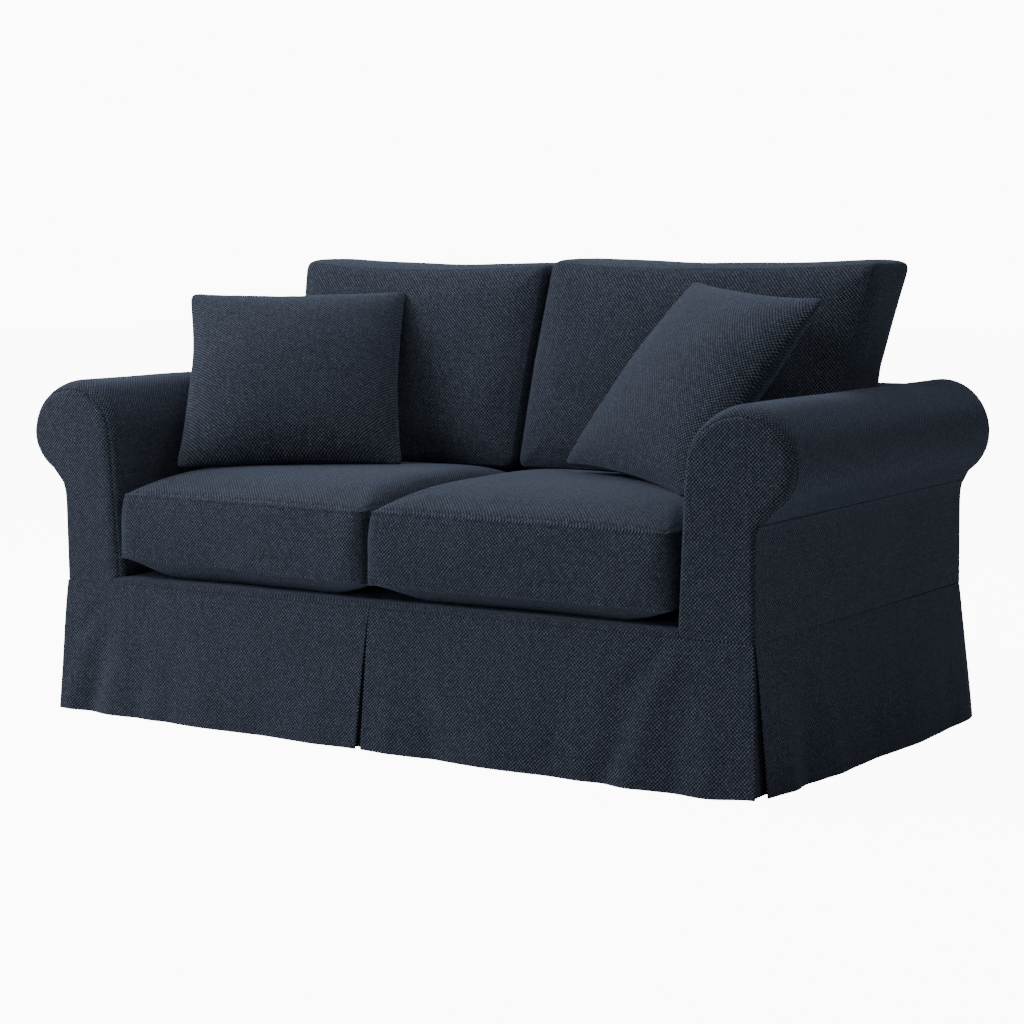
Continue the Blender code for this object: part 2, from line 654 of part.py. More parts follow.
def make_seat_cushion(name, span, collection):
    """A boxed cushion: flat below, crowned above, with two seams round its boxing."""
    block = cut_block([
        mirrored_cuts(0.0, 0.45, 0.75, 0.90, 0.975), mirrored_cuts(0.0, 0.45, 0.80, 0.92, 0.97),
        [0.0],
    ])
    for vert in block.verts:
        vert.co = seat_point(span, *vert.co)
    return add_object(name, block, collection)


def round_box(point, half, radius):
    """Move a point of a block's surface onto the same block with rounded edges."""
    core = Vector([min(max(point[i] * half[i], radius - half[i]), half[i] - radius)
                   for i in range(3)])
    out = Vector([point[i] * half[i] for i in range(3)]) - core
    return core + out.normalized() * radius


def make_back_cushion(name, span, collection):
    """A soft boxed cushion that leans with the back frame."""
    half = Vector(((span["right"] - span["left"]) / 2, BACK_THICK / 2, (BACK_TOP - BACK_FOOT) / 2))
    middle = (span["right"] + span["left"]) / 2
    edge = [1 - BACK_ROUND / size for size in half]
    tip = [1 - 0.3 * BACK_ROUND / size for size in half]
    block = cut_block([
        mirrored_cuts(0.0, 0.45, 0.75, edge[0], tip[0]),
        mirrored_cuts(edge[1], tip[1]),
        mirrored_cuts(0.0, 0.5, edge[2], tip[2]),
    ])
    for vert in block.verts:
        u, w, v = vert.co
        place = round_box(vert.co, half, BACK_ROUND)
        swell = (1 - u ** 4) * (1 - v ** 4)
        if w < 0:
            place.y -= BACK_SWELL * swell * min(-w / edge[1], 1)
        if v > 0:
            place.z -= BACK_DIP * (1 - u * u) * v
        part = (place.z / half.z + 1) / 2
        out, tilt = (span[key][0] * (1 - u) / 2 + span[key][1] * (1 + u) / 2
                     for key in ("flare", "tilt"))
        height = place.z + half.z + tilt * part ** 2
        y = BACK_FRONT + BACK_THICK / 2 + FRAME_LEAN * height + place.y
        z = BACK_FOOT + height
        rise = max(part - 0.5, 0) * 2
        # Between the arms the sides are pressed in.
        left, right = (inner_face_x(side, z, FRONT) - BACK_SQUEEZE for side in (-1, 1))
        x = min(max(middle + place.x + out * rise, -left), right)
        vert.co = (x, y, z)
    return add_object(name, block, collection)


def make_throw_cushion(name, pose, collection):
    """A square cushion whose two faces meet in a sewn edge, with drawn-in sides."""
    block = cut_block([
        mirrored_cuts(0.0, 0.35, 0.65, 0.85, 0.95), [], mirrored_cuts(0.0, 0.35, 0.65, 0.85, 0.95),
    ])
    turn = Matrix.Rotation(math.radians(pose["turn"]), 4, "Z")
    lean = Matrix.Rotation(-math.radians(pose["lean"]), 4, "X")
    roll = Matrix.Rotation(-math.radians(pose["roll"]), 4, "Y")
    placing = Matrix.Translation(pose["place"]) @ turn @ lean @ roll
    for vert in block.verts:
        u, w, v = vert.co
        x = u * (pose["size"][0] / 2 - THROW_PULL * (1 - v * v))
        z = v * (pose["size"][1] / 2 - THROW_PULL * (1 - u * u))
        plump = ((1 - abs(u) ** 2.4) * (1 - abs(v) ** 2.4)) ** 0.6
        y = w * (THROW_RIM + (THROW_THICK / 2 - THROW_RIM) * plump)
        vert.co = placing @ Vector((x, y, z))
    return add_object(name, block, collection)


# ---- The whole set ----------------------------------------------------------------------

def build():
    clear_scene()
    cover = bpy.data.collections.new("sofa_slipcover")
    bpy.context.scene.collection.children.link(cover)

    make_deck(cover)
    make_inside_back(cover)
    make_outside_back(cover)
    for side, word in ((-1, "left"), (1, "right")):
        make_arm(side, "arm_" + word, cover)
        make_arm_front(side, "arm_front_" + word, cover)
        make_outside_arm(side, "outside_arm_" + word, cover)
        for end, place in ((-1, "front"), (1, "back")):
            make_corner_underlay(side, end, f"underlay_corner_{place}_{word}", cover)
    make_front_underlay(cover)
    for name in SKIRTS:
        make_skirt(name, cover)

    for name, span in SEATS.items():
        make_seat_cushion(name, span, cover)
    for name, span in BACK_CUSHIONS.items():
        make_back_cushion(name, span, cover)
    for name, pose in THROWS.items():
        make_throw_cushion(name, pose, cover)


build()
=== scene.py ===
# %% [markdown]
# # A fitted slipcover for a two-seat sofa
# The real thing is one set of sewn cloth: a body cover of flat panels that fits the sofa
# tightly, a loose skirt with kick pleats, and six stuffed cushions in the same weave. The
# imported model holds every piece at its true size. This lesson gives each piece its finished
# surface, in the same frame, so nothing has to be fitted afterwards.

# %% Load the frame
import math

import bpy
import numpy as np
from mathutils import Matrix, Vector, noise


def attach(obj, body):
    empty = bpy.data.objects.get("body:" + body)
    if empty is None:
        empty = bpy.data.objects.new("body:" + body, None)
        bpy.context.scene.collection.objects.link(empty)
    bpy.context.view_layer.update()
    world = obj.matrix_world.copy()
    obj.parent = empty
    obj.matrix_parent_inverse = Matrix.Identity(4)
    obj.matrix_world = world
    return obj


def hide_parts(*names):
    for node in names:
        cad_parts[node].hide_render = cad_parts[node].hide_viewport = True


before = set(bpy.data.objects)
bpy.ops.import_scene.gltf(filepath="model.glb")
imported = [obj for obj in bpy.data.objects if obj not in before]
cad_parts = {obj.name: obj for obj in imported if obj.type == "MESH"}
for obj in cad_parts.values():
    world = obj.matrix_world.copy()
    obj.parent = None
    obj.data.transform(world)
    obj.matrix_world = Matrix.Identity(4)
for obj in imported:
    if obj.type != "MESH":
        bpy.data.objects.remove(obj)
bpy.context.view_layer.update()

# %% [markdown]
# ## Camera
# The sofa is seen from its right front corner, from as high as its cushions and from far
# off, so a long lens is used: it keeps the arms nearly the same size. The camera could track
# an empty, but then its small roll would be lost, so its axes are worked out from three
# angles and set as a matrix.

# %% Place the camera
EYE = Vector((2.640, -3.816, 0.946))
YAW, PITCH, ROLL = math.radians(34.39), math.radians(6.50), math.radians(-0.76)
LENS = 79.45

level = Vector((math.cos(YAW), math.sin(YAW), 0.0))
forward = Vector((-level.y * math.cos(PITCH), level.x * math.cos(PITCH), -math.sin(PITCH)))
across = math.cos(ROLL) * level + math.sin(ROLL) * level.cross(forward)
upward = across.cross(forward)
camera_data = bpy.data.cameras.new("camera")
camera_data.lens = LENS
camera = bpy.data.objects.new("camera", camera_data)
bpy.context.scene.collection.objects.link(camera)
camera.matrix_world = Matrix.Translation(EYE) @ Matrix((across, upward, -forward)).transposed().to_4x4()
bpy.context.scene.camera = camera
print("camera at", tuple(EYE))

# %% [markdown]
# ## Sizes
# A slipcover is cut to its sofa, so a few sizes of the sofa give every panel: how wide and
# deep the body is, how high the deck is, and where the roll of each arm lies. They are the
# construction's own sizes.

# %% Sizes of the body
CLOTH = 0.002
SEAM_GAP = 0.0003

BODY_HALF, BODY_HALF_BACK = 0.8215, 0.8295   # centre line to the outside arm, front and back
BODY_DEPTH = 0.860
FRONT, BACK = -BODY_DEPTH / 2, BODY_DEPTH / 2
INNER_BACK = BACK - CLOTH - SEAM_GAP
SKIRT_SEAM = 0.2745
SKIRT_HEM = 0.0005
BODY_FOOT = SKIRT_SEAM + SEAM_GAP
DECK_TOP = 0.289
DECK_ROLL = 0.011
SEAT_HALF = 0.667
ROLL_X, ROLL_Z = 0.790, 0.583
FRAME_LEAN = 0.298
FRAME_FOOT = 0.215
FRAME_TOP = 0.677
FRAME_CORNER = 0.022

# %% [markdown]
# ## Shader arithmetic
# A weave is easiest to write as a sum, like `0.5 + 0.5 * wave`. Blender's shaders are node
# graphs, so a small class stands for one output socket, and using Python's operators on it
# adds the Math nodes. Everything else comes from one method that makes any node.

# %% A class for shader values
class Flow:
    """One output of a material's node graph."""

    def __init__(self, tree, socket):
        self.tree = tree
        self.socket = socket

    def math(self, operation, *others):
        return Graph(self.tree).node("ShaderNodeMath", {"operation": operation}, [self, *others])

    def __add__(self, other):
        return self.math("ADD", other)

    def __mul__(self, other):
        return self.math("MULTIPLY", other)

    def __sub__(self, other):
        return self.math("SUBTRACT", other)

    def __truediv__(self, other):
        return self.math("DIVIDE", other)

    def __pow__(self, other):
        return self.math("POWER", other)

    def __rsub__(self, other):
        return self * -1.0 + other

    __radd__ = __add__
    __rmul__ = __mul__

    def cosine(self):
        return self.math("COSINE")

    def clamp(self):
        return self.math("MAXIMUM", 0.0).math("MINIMUM", 1.0)


class Graph:
    """Adds nodes to a material."""

    def __init__(self, tree):
        self.tree = tree

    def node(self, kind, settings=(), sockets=(), output=0):
        """Add a node: first its settings, then its sockets, by number or by name. A socket
        is given a plain value or the Flow that feeds it."""
        made = self.tree.nodes.new(kind)
        for name, value in dict(settings).items():
            setattr(made, name, value)
        pairs = sockets.items() if isinstance(sockets, dict) else enumerate(sockets)
        for name, value in pairs:
            if isinstance(value, Flow):
                self.tree.links.new(value.socket, made.inputs[name])
            else:
                made.inputs[name].default_value = value
        return Flow(self.tree, made.outputs[output])

    def mix(self, share, first, second):
        """Blend two colours by a share from 0 to 1."""
        return self.node("ShaderNodeMix", {"data_type": "RGBA"}, {0: share, 6: first, 7: second}, 2)


print("shader arithmetic ready")

# %% [markdown]
# ## The cloth
# It is a coarse plain weave of thick, slightly hairy yarn in dark navy, about 3.6 mm from
# yarn to yarn. Where a paler warp yarn passes over, it shows as a raised dot, and the dots
# stand like the squares of a chessboard, so the cloth reads as fine diagonals from afar. An
# image would repeat and blur. Two cosines make the chessboard, noise drawn out along each
# yarn makes some yarns paler and thicker, and the same numbers feed a bump, so light and
# colour agree. The pattern follows a UV map in metres along the cloth, as threads do.

# %% The woven material
YARN_PITCH = 0.0036
YARN_DARK = (0.0032, 0.0052, 0.0105, 1.0)
YARN_PALE = (0.0960, 0.1090, 0.1440, 1.0)
WEAVE_MAP = "weave"
DRIFT, JITTER = 1.0, 0.7           # how far the yarns wander, over a hand's width and a dot's
DOT_EDGE = 0.9                     # higher gives crisper dots
DOT_BASE, DOT_YARN, DOT_CHANCE = 0.45, 0.35, 0.35   # what makes one dot paler than another
HAIR, PATCH = 0.18, 0.10
PALE_CURVE = 1.4                   # higher leaves more of the cloth dark
STREAK = 9.0                       # streaks along a yarn, in waves for each metre


def woven_cloth(name):
    """The navy basket weave, read from the weave map in metres."""
    material = bpy.data.materials.new(name)
    material.use_nodes = True
    graph = Graph(material.node_tree)
    shader = material.node_tree.nodes["Principled BSDF"]
    place = graph.node("ShaderNodeUVMap", {"uv_map": WEAVE_MAP})
    along = graph.node("ShaderNodeSeparateXYZ", sockets=[place])
    up = Flow(along.tree, along.socket.node.outputs[1])

    def noise_at(across_scale, up_scale, detail=2.0):
        """Noise around 0, in waves for each metre along each way of the cloth."""
        spot = graph.node("ShaderNodeCombineXYZ", sockets=[along * across_scale, up * up_scale])
        sockets = {"Vector": spot, "Scale": 1.0, "Detail": detail}
        return graph.node("ShaderNodeTexNoise", sockets=sockets) - 0.5

    drift = noise_at(60.0, 60.0) * DRIFT
    jitter = noise_at(210.0, 190.0, 1.0) * JITTER
    warp = along / YARN_PITCH + drift + jitter
    weft = up / YARN_PITCH - drift + jitter
    chess = (warp * math.pi).cosine() * (weft * math.pi).cosine()
    crossing = graph.node("ShaderNodeCombineXYZ",
                          sockets=[(warp + 0.5).math("FLOOR"), (weft + 0.5).math("FLOOR")])
    chance = graph.node("ShaderNodeTexWhiteNoise", {"noise_dimensions": "2D"}, {"Vector": crossing})
    yarns = noise_at(1 / YARN_PITCH, STREAK) + noise_at(STREAK, 1 / YARN_PITCH) + 1.0
    hair = noise_at(900.0, 900.0)
    patch = noise_at(7.0, 7.0, 3.0)
    dots = (chess * DOT_EDGE + 0.5).clamp()
    paleness = yarns * DOT_YARN + (chance - 0.5) * DOT_CHANCE + DOT_BASE
    share = (dots * paleness + hair * HAIR + patch * PATCH).clamp()
    colour = graph.mix(share ** PALE_CURVE, YARN_DARK, YARN_PALE)
    height = dots + (hair + yarns) * 0.35
    bump = graph.node("ShaderNodeBump", sockets={"Strength": 0.55, "Distance": 0.0012, "Height": height})
    for source, socket in ((colour, "Base Color"), (0.98 - dots * 0.10, "Roughness"), (bump, "Normal")):
        material.node_tree.links.new(source.socket, shader.inputs[socket])
    shader.inputs["Specular IOR Level"].default_value = 0.05
    shader.inputs["Sheen Weight"].default_value = 0.20
    shader.inputs["Sheen Roughness"].default_value = 0.5
    shader.inputs["Sheen Tint"].default_value = (0.55, 0.69, 1.0, 1.0)
    return material


CLOTH_FINISH = woven_cloth("navy_basket_weave")
print("cloth nodes:", len(CLOTH_FINISH.node_tree.nodes))

# %% [markdown]
# ## Laying a panel
# A sewn panel starts as a flat cut of cloth, and it ends on the sofa's surface. It could be
# draped by simulation, but a fitted cover is pulled tight, so its shape is the sofa's own.
# Each panel is therefore a grid primitive whose points are placed by a rule, row by row.
# Three things then make it cloth: its sewn edges turn in, so a seam is a real groove, the
# cloth puckers a little along them, and the whole panel is slightly uneven.

# %% Helpers for numbers
SIDES = ((-1, "left"), (1, "right"))
SEAM_ROWS = (0.0, 0.0010, 0.0022, 0.0040, 0.0070)   # how far rows of points lie from a seam


def table(columns, *rows):
    """Rows of values under named columns."""
    return [dict(zip(columns.split(), row)) for row in rows]


def spread(start, end, count):
    """Evenly spaced numbers from start to end, both included."""
    return [start + (end - start) * step / (count - 1) for step in range(count)]


def fade(value):
    """A soft step from 0 to 1."""
    value = min(max(value, 0.0), 1.0)
    return value * value * (3 - 2 * value)


def smooth_rows(rows, passes):
    """Even out a table of numbers from row to row."""
    for _ in range(passes):
        rows = np.concatenate([rows[:1], (rows[:-2] + 2 * rows[1:-1] + rows[2:]) / 4, rows[-1:]])
    return rows


def resample(path, count):
    """Points evenly spaced along a path of points."""
    path = np.array(path, float)
    steps = np.linalg.norm(np.diff(path[:, :2], axis=0), axis=1)
    reach = np.concatenate([[0.0], np.cumsum(steps)])
    wanted = np.linspace(0.0, reach[-1], count)
    return np.stack([np.interp(wanted, reach, path[:, axis]) for axis in range(path.shape[1])], axis=1)


def with_seams(low, high, spacing, low_sewn=True, high_sewn=True):
    """Places from low to high at about a spacing, closer together beside a sewn edge."""
    start = [low + step for step in (SEAM_ROWS if low_sewn else (0.0,))]
    end = [high - step for step in reversed(SEAM_ROWS if high_sewn else (0.0,))]
    count = max(round((end[0] - start[-1]) / spacing), 2)
    return start + spread(start[-1], end[0], count + 1)[1:-1] + end


# %% Helpers for cloth
SEAM_DIP = 0.0022          # how far a sewn edge turns in
FLAT_DIP = 0.0005          # and where the seam lies flat
SEAM_REACH = 0.0026        # over this distance
PUCKER, PUCKER_SIZE = 0.0005, 0.014
PUCKER_REACH = 0.018
SLACK_SIZE, SLACK_FROM = 0.16, 0.03    # soft unevenness, which starts away from the seams
CREASE = "start end half out"          # a crease's columns: half is half its width


def crease_height(points, creases):
    """Sum of soft ridges (out above 0) and troughs (below 0), each along a straight line.
    points: N by 2 or by 3, in metres, and the creases' ends have as many numbers."""
    total = np.zeros(len(points))
    for crease in creases:
        start, end = np.array(crease["start"], float), np.array(crease["end"], float)
        line = end - start
        part = ((points - start) @ line / (line @ line)).clip(0, 1)
        gap = np.linalg.norm(points - start - part[:, None] * line, axis=1)
        ends = np.sin(np.pi * (0.12 + 0.76 * part)) ** 0.7
        total += crease["out"] * np.exp(-(gap / crease["half"]) ** 2) * ends
    return total


def unevenness(points, size, seed):
    """Soft noise from -1 to 1 at each point, with bumps of about a size in metres."""
    return np.array([noise.noise(Vector(point) / size + Vector((seed, 0.0, 0.0))) for point in points])


def settle(points, normals, edge_gap, slack, seed, dip=SEAM_DIP):
    """Turn in the sewn edges, pucker the cloth along them and make it a little uneven.
    edge_gap: each point's distance to the nearest sewn edge."""
    turned = dip * np.exp(-(edge_gap / SEAM_REACH) ** 2)
    near = np.exp(-edge_gap / PUCKER_REACH) * (1 - np.exp(-edge_gap / SEAM_REACH))
    pucker = PUCKER * near * unevenness(points, PUCKER_SIZE, seed)
    loose = slack * unevenness(points, SLACK_SIZE, seed + 7.3) * (1 - np.exp(-edge_gap / SLACK_FROM))
    return points + normals * (pucker + loose - turned)[:, None]


def select_only(*pieces):
    """Select these pieces and no others. The last one becomes active."""
    for obj in bpy.context.selected_objects:
        obj.select_set(False)
    for obj in pieces:
        obj.select_set(True)
        bpy.context.view_layer.objects.active = obj


def in_edit_mode(obj, action):
    """Run an action in edit mode with all of a piece selected."""
    bpy.ops.object.mode_set(mode="EDIT")
    bpy.ops.mesh.select_all(action="SELECT")
    action()
    bpy.ops.object.mode_set(mode="OBJECT")


def apply_modifier(obj, kind, **settings):
    modifier = obj.modifiers.new(kind.lower(), kind)
    for name, value in settings.items():
        setattr(modifier, name, value)
    bpy.ops.object.modifier_apply(modifier=modifier.name)


def read_vectors(items, name):
    """A vector of every item, as rows of three numbers."""
    vectors = np.empty(len(items) * 3)
    items.foreach_get(name, vectors)
    return vectors.reshape(-1, 3)


def read_points(mesh):
    return read_vectors(mesh.vertices, "co")


def write_points(mesh, points):
    mesh.vertices.foreach_set("co", np.asarray(points).ravel())
    mesh.update()


def fresh_map(mesh):
    """An empty weave map, as the only one."""
    while mesh.uv_layers:
        mesh.uv_layers.remove(mesh.uv_layers[0])
    return mesh.uv_layers.new(name=WEAVE_MAP)


def write_map(mesh, flat_places):
    """Store where each point lies on its flat cut, in metres, as the weave map."""
    corners = np.empty(len(mesh.loops), int)
    mesh.loops.foreach_get("vertex_index", corners)
    fresh_map(mesh).data.foreach_set("uv", np.asarray(flat_places)[corners].astype(np.float32).ravel())


def finish_piece(obj, node, rounding=50):
    """Give a piece its cloth and smooth shading, and put it in its CAD node's place."""
    obj.data.materials.clear()
    obj.data.materials.append(CLOTH_FINISH)
    bpy.ops.object.shade_smooth_by_angle(angle=math.radians(rounding))
    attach(obj, "root")
    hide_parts(node)
    print(obj.name, len(obj.data.polygons), "faces")


def thicken(obj):
    apply_modifier(obj, "SOLIDIFY", thickness=CLOTH, offset=-1.0, use_quality_normals=True)


def grid_normals(grid):
    """The outer direction at each point of a grid of points."""
    turned = np.cross(np.gradient(grid, axis=1), np.gradient(grid, axis=0))
    return turned / np.maximum(np.linalg.norm(turned, axis=2, keepdims=True), 1e-9)


def reach_along(grid, axis):
    """How far each point of a grid lies from its first row or column."""
    steps = np.linalg.norm(np.diff(grid, axis=axis), axis=2)
    pad = [(0, 0), (0, 0)]
    pad[axis] = (1, 0)
    return np.cumsum(np.pad(steps, pad), axis=axis)


def lay_panel(node, grid, sewn, slack, seed, creases=(), flip=False, dip=SEAM_DIP):
    """Make a panel from rows of points. sewn names its sewn edges: L, R, B(ottom), T(op),
    as the rows and columns run. The outer side is where columns turn into rows."""
    grid = np.array(grid, float)
    rows, columns = grid.shape[:2]
    across, up = reach_along(grid, 1), reach_along(grid, 0)
    gaps = {"L": across, "R": across[:, -1:] - across, "B": up, "T": up[-1:, :] - up}
    far = np.ones((rows, columns))
    edge_gap = np.min([far, *(gaps[side] for side in sewn)], axis=0).ravel()
    flat = np.stack(np.meshgrid(across[rows // 2], up[:, columns // 2]), axis=2).reshape(-1, 2)
    normals = grid_normals(grid).reshape(-1, 3) * (-1 if flip else 1)
    points = grid.reshape(-1, 3) + normals * crease_height(flat, creases)[:, None]
    points = settle(points, normals, edge_gap, slack, seed, dip)

    select_only()
    bpy.ops.mesh.primitive_grid_add(x_subdivisions=columns - 1, y_subdivisions=rows - 1)
    obj = bpy.context.object
    obj.name = obj.data.name = node + "_cloth"
    write_points(obj.data, points)
    write_map(obj.data, flat)
    if flip:
        in_edit_mode(obj, bpy.ops.mesh.flip_normals)
    thicken(obj)
    finish_piece(obj, node)
    return obj


print("panel helpers ready")

# %% [markdown]
# ## Arms
# One panel covers the inside of the arm and its roll, and ends in the neck under the roll.
# Its cross-section is a leaning line, most of a circle and a short soft bend, and it is
# swept from front to back while the roll gets slightly narrower. The front of the arm is
# rounded into its sides, and the facing wraps round that edge, so the seam lies part of the
# way round it inside and right behind it outside.

# %% The arm's outline
# The arm in front and at the back: the roll's radius across, the neck where the roll is sewn
# to the outside panel, and how far out that panel hangs.
ARM_FRONT = {"radius": 0.107, "neck_x": 0.829, "neck_z": 0.478, "panel": BODY_HALF}
ARM_BACK = {"radius": 0.101, "neck_x": 0.838, "neck_z": 0.4845, "panel": BODY_HALF_BACK}
PANEL_BEND = 0.012         # the panel bends out over about this distance under the neck
ROLL_END = -55

# The two rolls differ a little. top is how high a roll stands over its middle, under how
# deep it hangs, and reach how far it goes out, in radii. The left arm is -1.
ROLLS = {
    -1: {"top": 0.114, "under": 0.090, "reach": 1.09},
    1: {"top": 0.1035, "under": 0.097, "reach": 1.0},
}
# turn: degrees round the roll; inset and depth: where the rounding starts, in from the
# arm's side, and where it ends, back from the front; seam: degrees round the rounding,
# which past 90 lie behind it
EDGE = "turn inset depth seam"
ARM_EDGES = {
    -1: table(EDGE,
              (-90, 0.005, 0.006, 45), (15, 0.005, 0.006, 45), (45, 0.018, 0.025, 22),
              (75, 0.028, 0.045, 18), (110, 0.030, 0.045, 18), (180, 0.033, 0.020, 46)),
    1: table(EDGE,
             (-90, 0.009, 0.008, 60), (-60, 0.019, 0.016, 90), (-20, 0.019, 0.016, 100),
             (0, 0.019, 0.016, 75), (30, 0.024, 0.034, 30), (60, 0.028, 0.050, 18),
             (135, 0.028, 0.050, 18), (180, 0.008, 0.010, 40)),
}
EDGE_RUN = 0.0003          # metres back for each degree past 90
EDGE_SMOOTH = 30           # passes that even out the table's corners
LAST_SWING = 120.0         # degrees round the rounding, behind every seam
SECTION_POINTS = 96
OUTSIDE_SPACING = 0.009


def arm_at(size, y):
    """A size of the arm at a place between its front and its back."""
    return ARM_FRONT[size] + (ARM_BACK[size] - ARM_FRONT[size]) * (y - FRONT) / BODY_DEPTH


def panel_point(y, down):
    """Centre line and height of the outside panel, some way down from the neck."""
    height = arm_at("neck_z", y) - down
    bend = math.exp(-down / PANEL_BEND)
    return arm_at("panel", y) + (arm_at("neck_x", y) - arm_at("panel", y)) * bend, height


def outside_points(y):
    """Places of the outside panel from the neck down to its foot."""
    drops = with_seams(0.0, arm_at("neck_z", y) - BODY_FOOT, OUTSIDE_SPACING)
    return [panel_point(y, down) for down in drops]


def arm_section(side, y):
    """The arm's outline from its foot inside, over the roll, to the neck: x, z and how far
    round the roll each point is, in degrees."""
    roll, radius = ROLLS[side], arm_at("radius", y)
    path = []
    for part in spread(0.0, 1.0, 12)[:-1]:
        path.append((SEAT_HALF + (ROLL_X - radius - SEAT_HALF) * part,
                     BODY_FOOT + (ROLL_Z - BODY_FOOT) * part, 180))
    for turn in spread(180, ROLL_END, 48):
        angle = math.radians(turn)
        wide = radius * (roll["reach"] if turn < 90 else 1.0)
        high = roll["top"] if turn > 0 else roll["under"]
        path.append((ROLL_X + wide * math.cos(angle), ROLL_Z + high * math.sin(angle), turn))
    start, end = Vector(path[-1][:2]), Vector(panel_point(y, 0.0))
    for part in spread(0.0, 1.0, 9)[1:]:
        spot = start.lerp(end, part)
        path.append((spot.x, spot.y, ROLL_END + (-90 - ROLL_END) * part))
    return resample(path, SECTION_POINTS)


def arm_edge(side):
    """The arm front's outline, down to its foot outside: places, ways in, and the inset,
    depth and seam at each of them, as arrays."""
    outside = [(x, z, -90) for x, z in outside_points(FRONT)[1:]]
    outline = np.concatenate([arm_section(side, FRONT), outside])
    places, turns = outline[:, :2], outline[:, 2]
    along = np.gradient(places, axis=0)
    ways = np.stack([along[:, 1], -along[:, 0]], axis=1)
    ways /= np.linalg.norm(ways, axis=1, keepdims=True)
    ways[[0, -1], 1] = 0.0
    at, *columns = ([row[name] for row in ARM_EDGES[side]] for name in EDGE.split())
    sizes = np.stack([np.interp(turns, at, column) for column in columns], axis=1)
    return places, ways, smooth_rows(sizes, EDGE_SMOOTH)


def rounding(sizes, swing):
    """How far in from the side and back from the front the rounding is, some degrees round
    it. sizes: arrays of inset and depth."""
    angle = np.radians(np.minimum(swing, 90))
    inward = sizes[..., 0] * (1 - np.sin(angle))
    return inward, sizes[..., 1] * (1 - np.cos(angle)) + EDGE_RUN * np.maximum(swing - 90, 0)


def swing_lengths(sizes, swings):
    """Distance along the rounding from its start to each of the given degrees."""
    steps = np.array([rounding(sizes, swing) for swing in swings])
    return np.concatenate([[0.0], np.cumsum(np.hypot(*np.diff(steps, axis=0).T))])


# %% Arm panels
EDGE_FINE = 0.070          # the panel has closer rows as far as this from its front seam
FINE_SPACING, ARM_SPACING = 0.0040, 0.0125


def make_arm(side, node, seed):
    places, ways, sizes = (array[:SECTION_POINTS] for array in arm_edge(side))
    front, rear = arm_section(side, FRONT), arm_section(side, BACK)
    swings = np.linspace(0.0, LAST_SWING, 61)
    rows = np.array(with_seams(0.0, EDGE_FINE, FINE_SPACING, high_sewn=False)
                    + with_seams(EDGE_FINE, BODY_DEPTH, ARM_SPACING, low_sewn=False)[1:])
    grid = np.zeros((len(rows), SECTION_POINTS, 3))
    for column in range(SECTION_POINTS):
        lengths = swing_lengths(sizes[column], swings)
        seam = np.interp(sizes[column, 2], swings, lengths)
        end_back = rounding(sizes[column], swings[-1])[1]
        whole = lengths[-1] - seam + INNER_BACK - FRONT - end_back
        reach = seam + np.interp(rows, [0, EDGE_FINE, BODY_DEPTH], [0, EDGE_FINE, whole])
        inward, back = rounding(sizes[column], np.interp(reach, lengths, swings))
        back = back + np.maximum(reach - lengths[-1], 0.0)
        share = (back / BODY_DEPTH)[:, None]
        section = front[column, :2] * (1 - share) + rear[column, :2] * share
        spot = section + inward[:, None] * ways[column]
        grid[:, column] = np.stack([side * spot[:, 0], FRONT + back, spot[:, 1]], axis=1)
    return lay_panel(node, grid, "BTR", slack=0.0010, seed=seed, flip=side < 0)


arms = [make_arm(side, f"arm_{word}", 11.0 + side) for side, word in SIDES]
print("arms:", [obj.name for obj in arms])

# %% [markdown]
# ## Facings and other flat panels
# The facing on the front of an arm and the outside back are flat cuts with a curved
# outline. A ring of points is the natural start: it becomes the outline, insets follow the
# seam, and straight cuts across give the inside enough points to be uneven. A rule then
# bends the cut: the facing's border goes round the arm's edge.

# %% Make a panel from its outline
EDGE_INSETS = (0.0008, 0.0008, 0.0012)     # rows of points beside the outline, from it inwards


def nearest_on(points, line):
    """Each point's nearest place on an open line: the distance, and the place as a number
    of points along the line."""
    start, step = line[:-1], np.diff(line, axis=0)
    square = (step ** 2).sum(1)
    part = (((points[:, None] - start) * step).sum(2) / square).clip(0, 1)
    gaps = np.linalg.norm(points[:, None] - start - part[..., None] * step, axis=2)
    best = gaps.argmin(axis=1)
    rows = np.arange(len(points))
    return gaps[rows, best], best + part[rows, best]


def cut_panel(node, outline, spacing):
    """A flat mesh inside an outline of x and z, facing the front."""
    select_only()
    bpy.ops.mesh.primitive_circle_add(vertices=len(outline), fill_type="NGON")
    obj = bpy.context.object
    obj.name = obj.data.name = node + "_cloth"
    outline = np.array(outline)
    write_points(obj.data, np.insert(outline, 1, 0.0, axis=1))
    bpy.ops.object.mode_set(mode="EDIT")
    bpy.ops.mesh.select_all(action="SELECT")
    for thickness in EDGE_INSETS:
        bpy.ops.mesh.inset(thickness=thickness, depth=0)
    for axis in (0, 1):
        low, high = outline[:, axis].min(), outline[:, axis].max()
        normal = (1, 0, 0) if axis == 0 else (0, 0, 1)
        for place in spread(low, high, round((high - low) / spacing) + 1)[1:-1]:
            bpy.ops.mesh.select_all(action="SELECT")
            bpy.ops.mesh.bisect(plane_co=(place, 0, place), plane_no=normal)
    bpy.ops.mesh.select_all(action="SELECT")
    bpy.ops.mesh.dissolve_degenerate(threshold=1e-5)
    bpy.ops.object.mode_set(mode="OBJECT")
    return obj


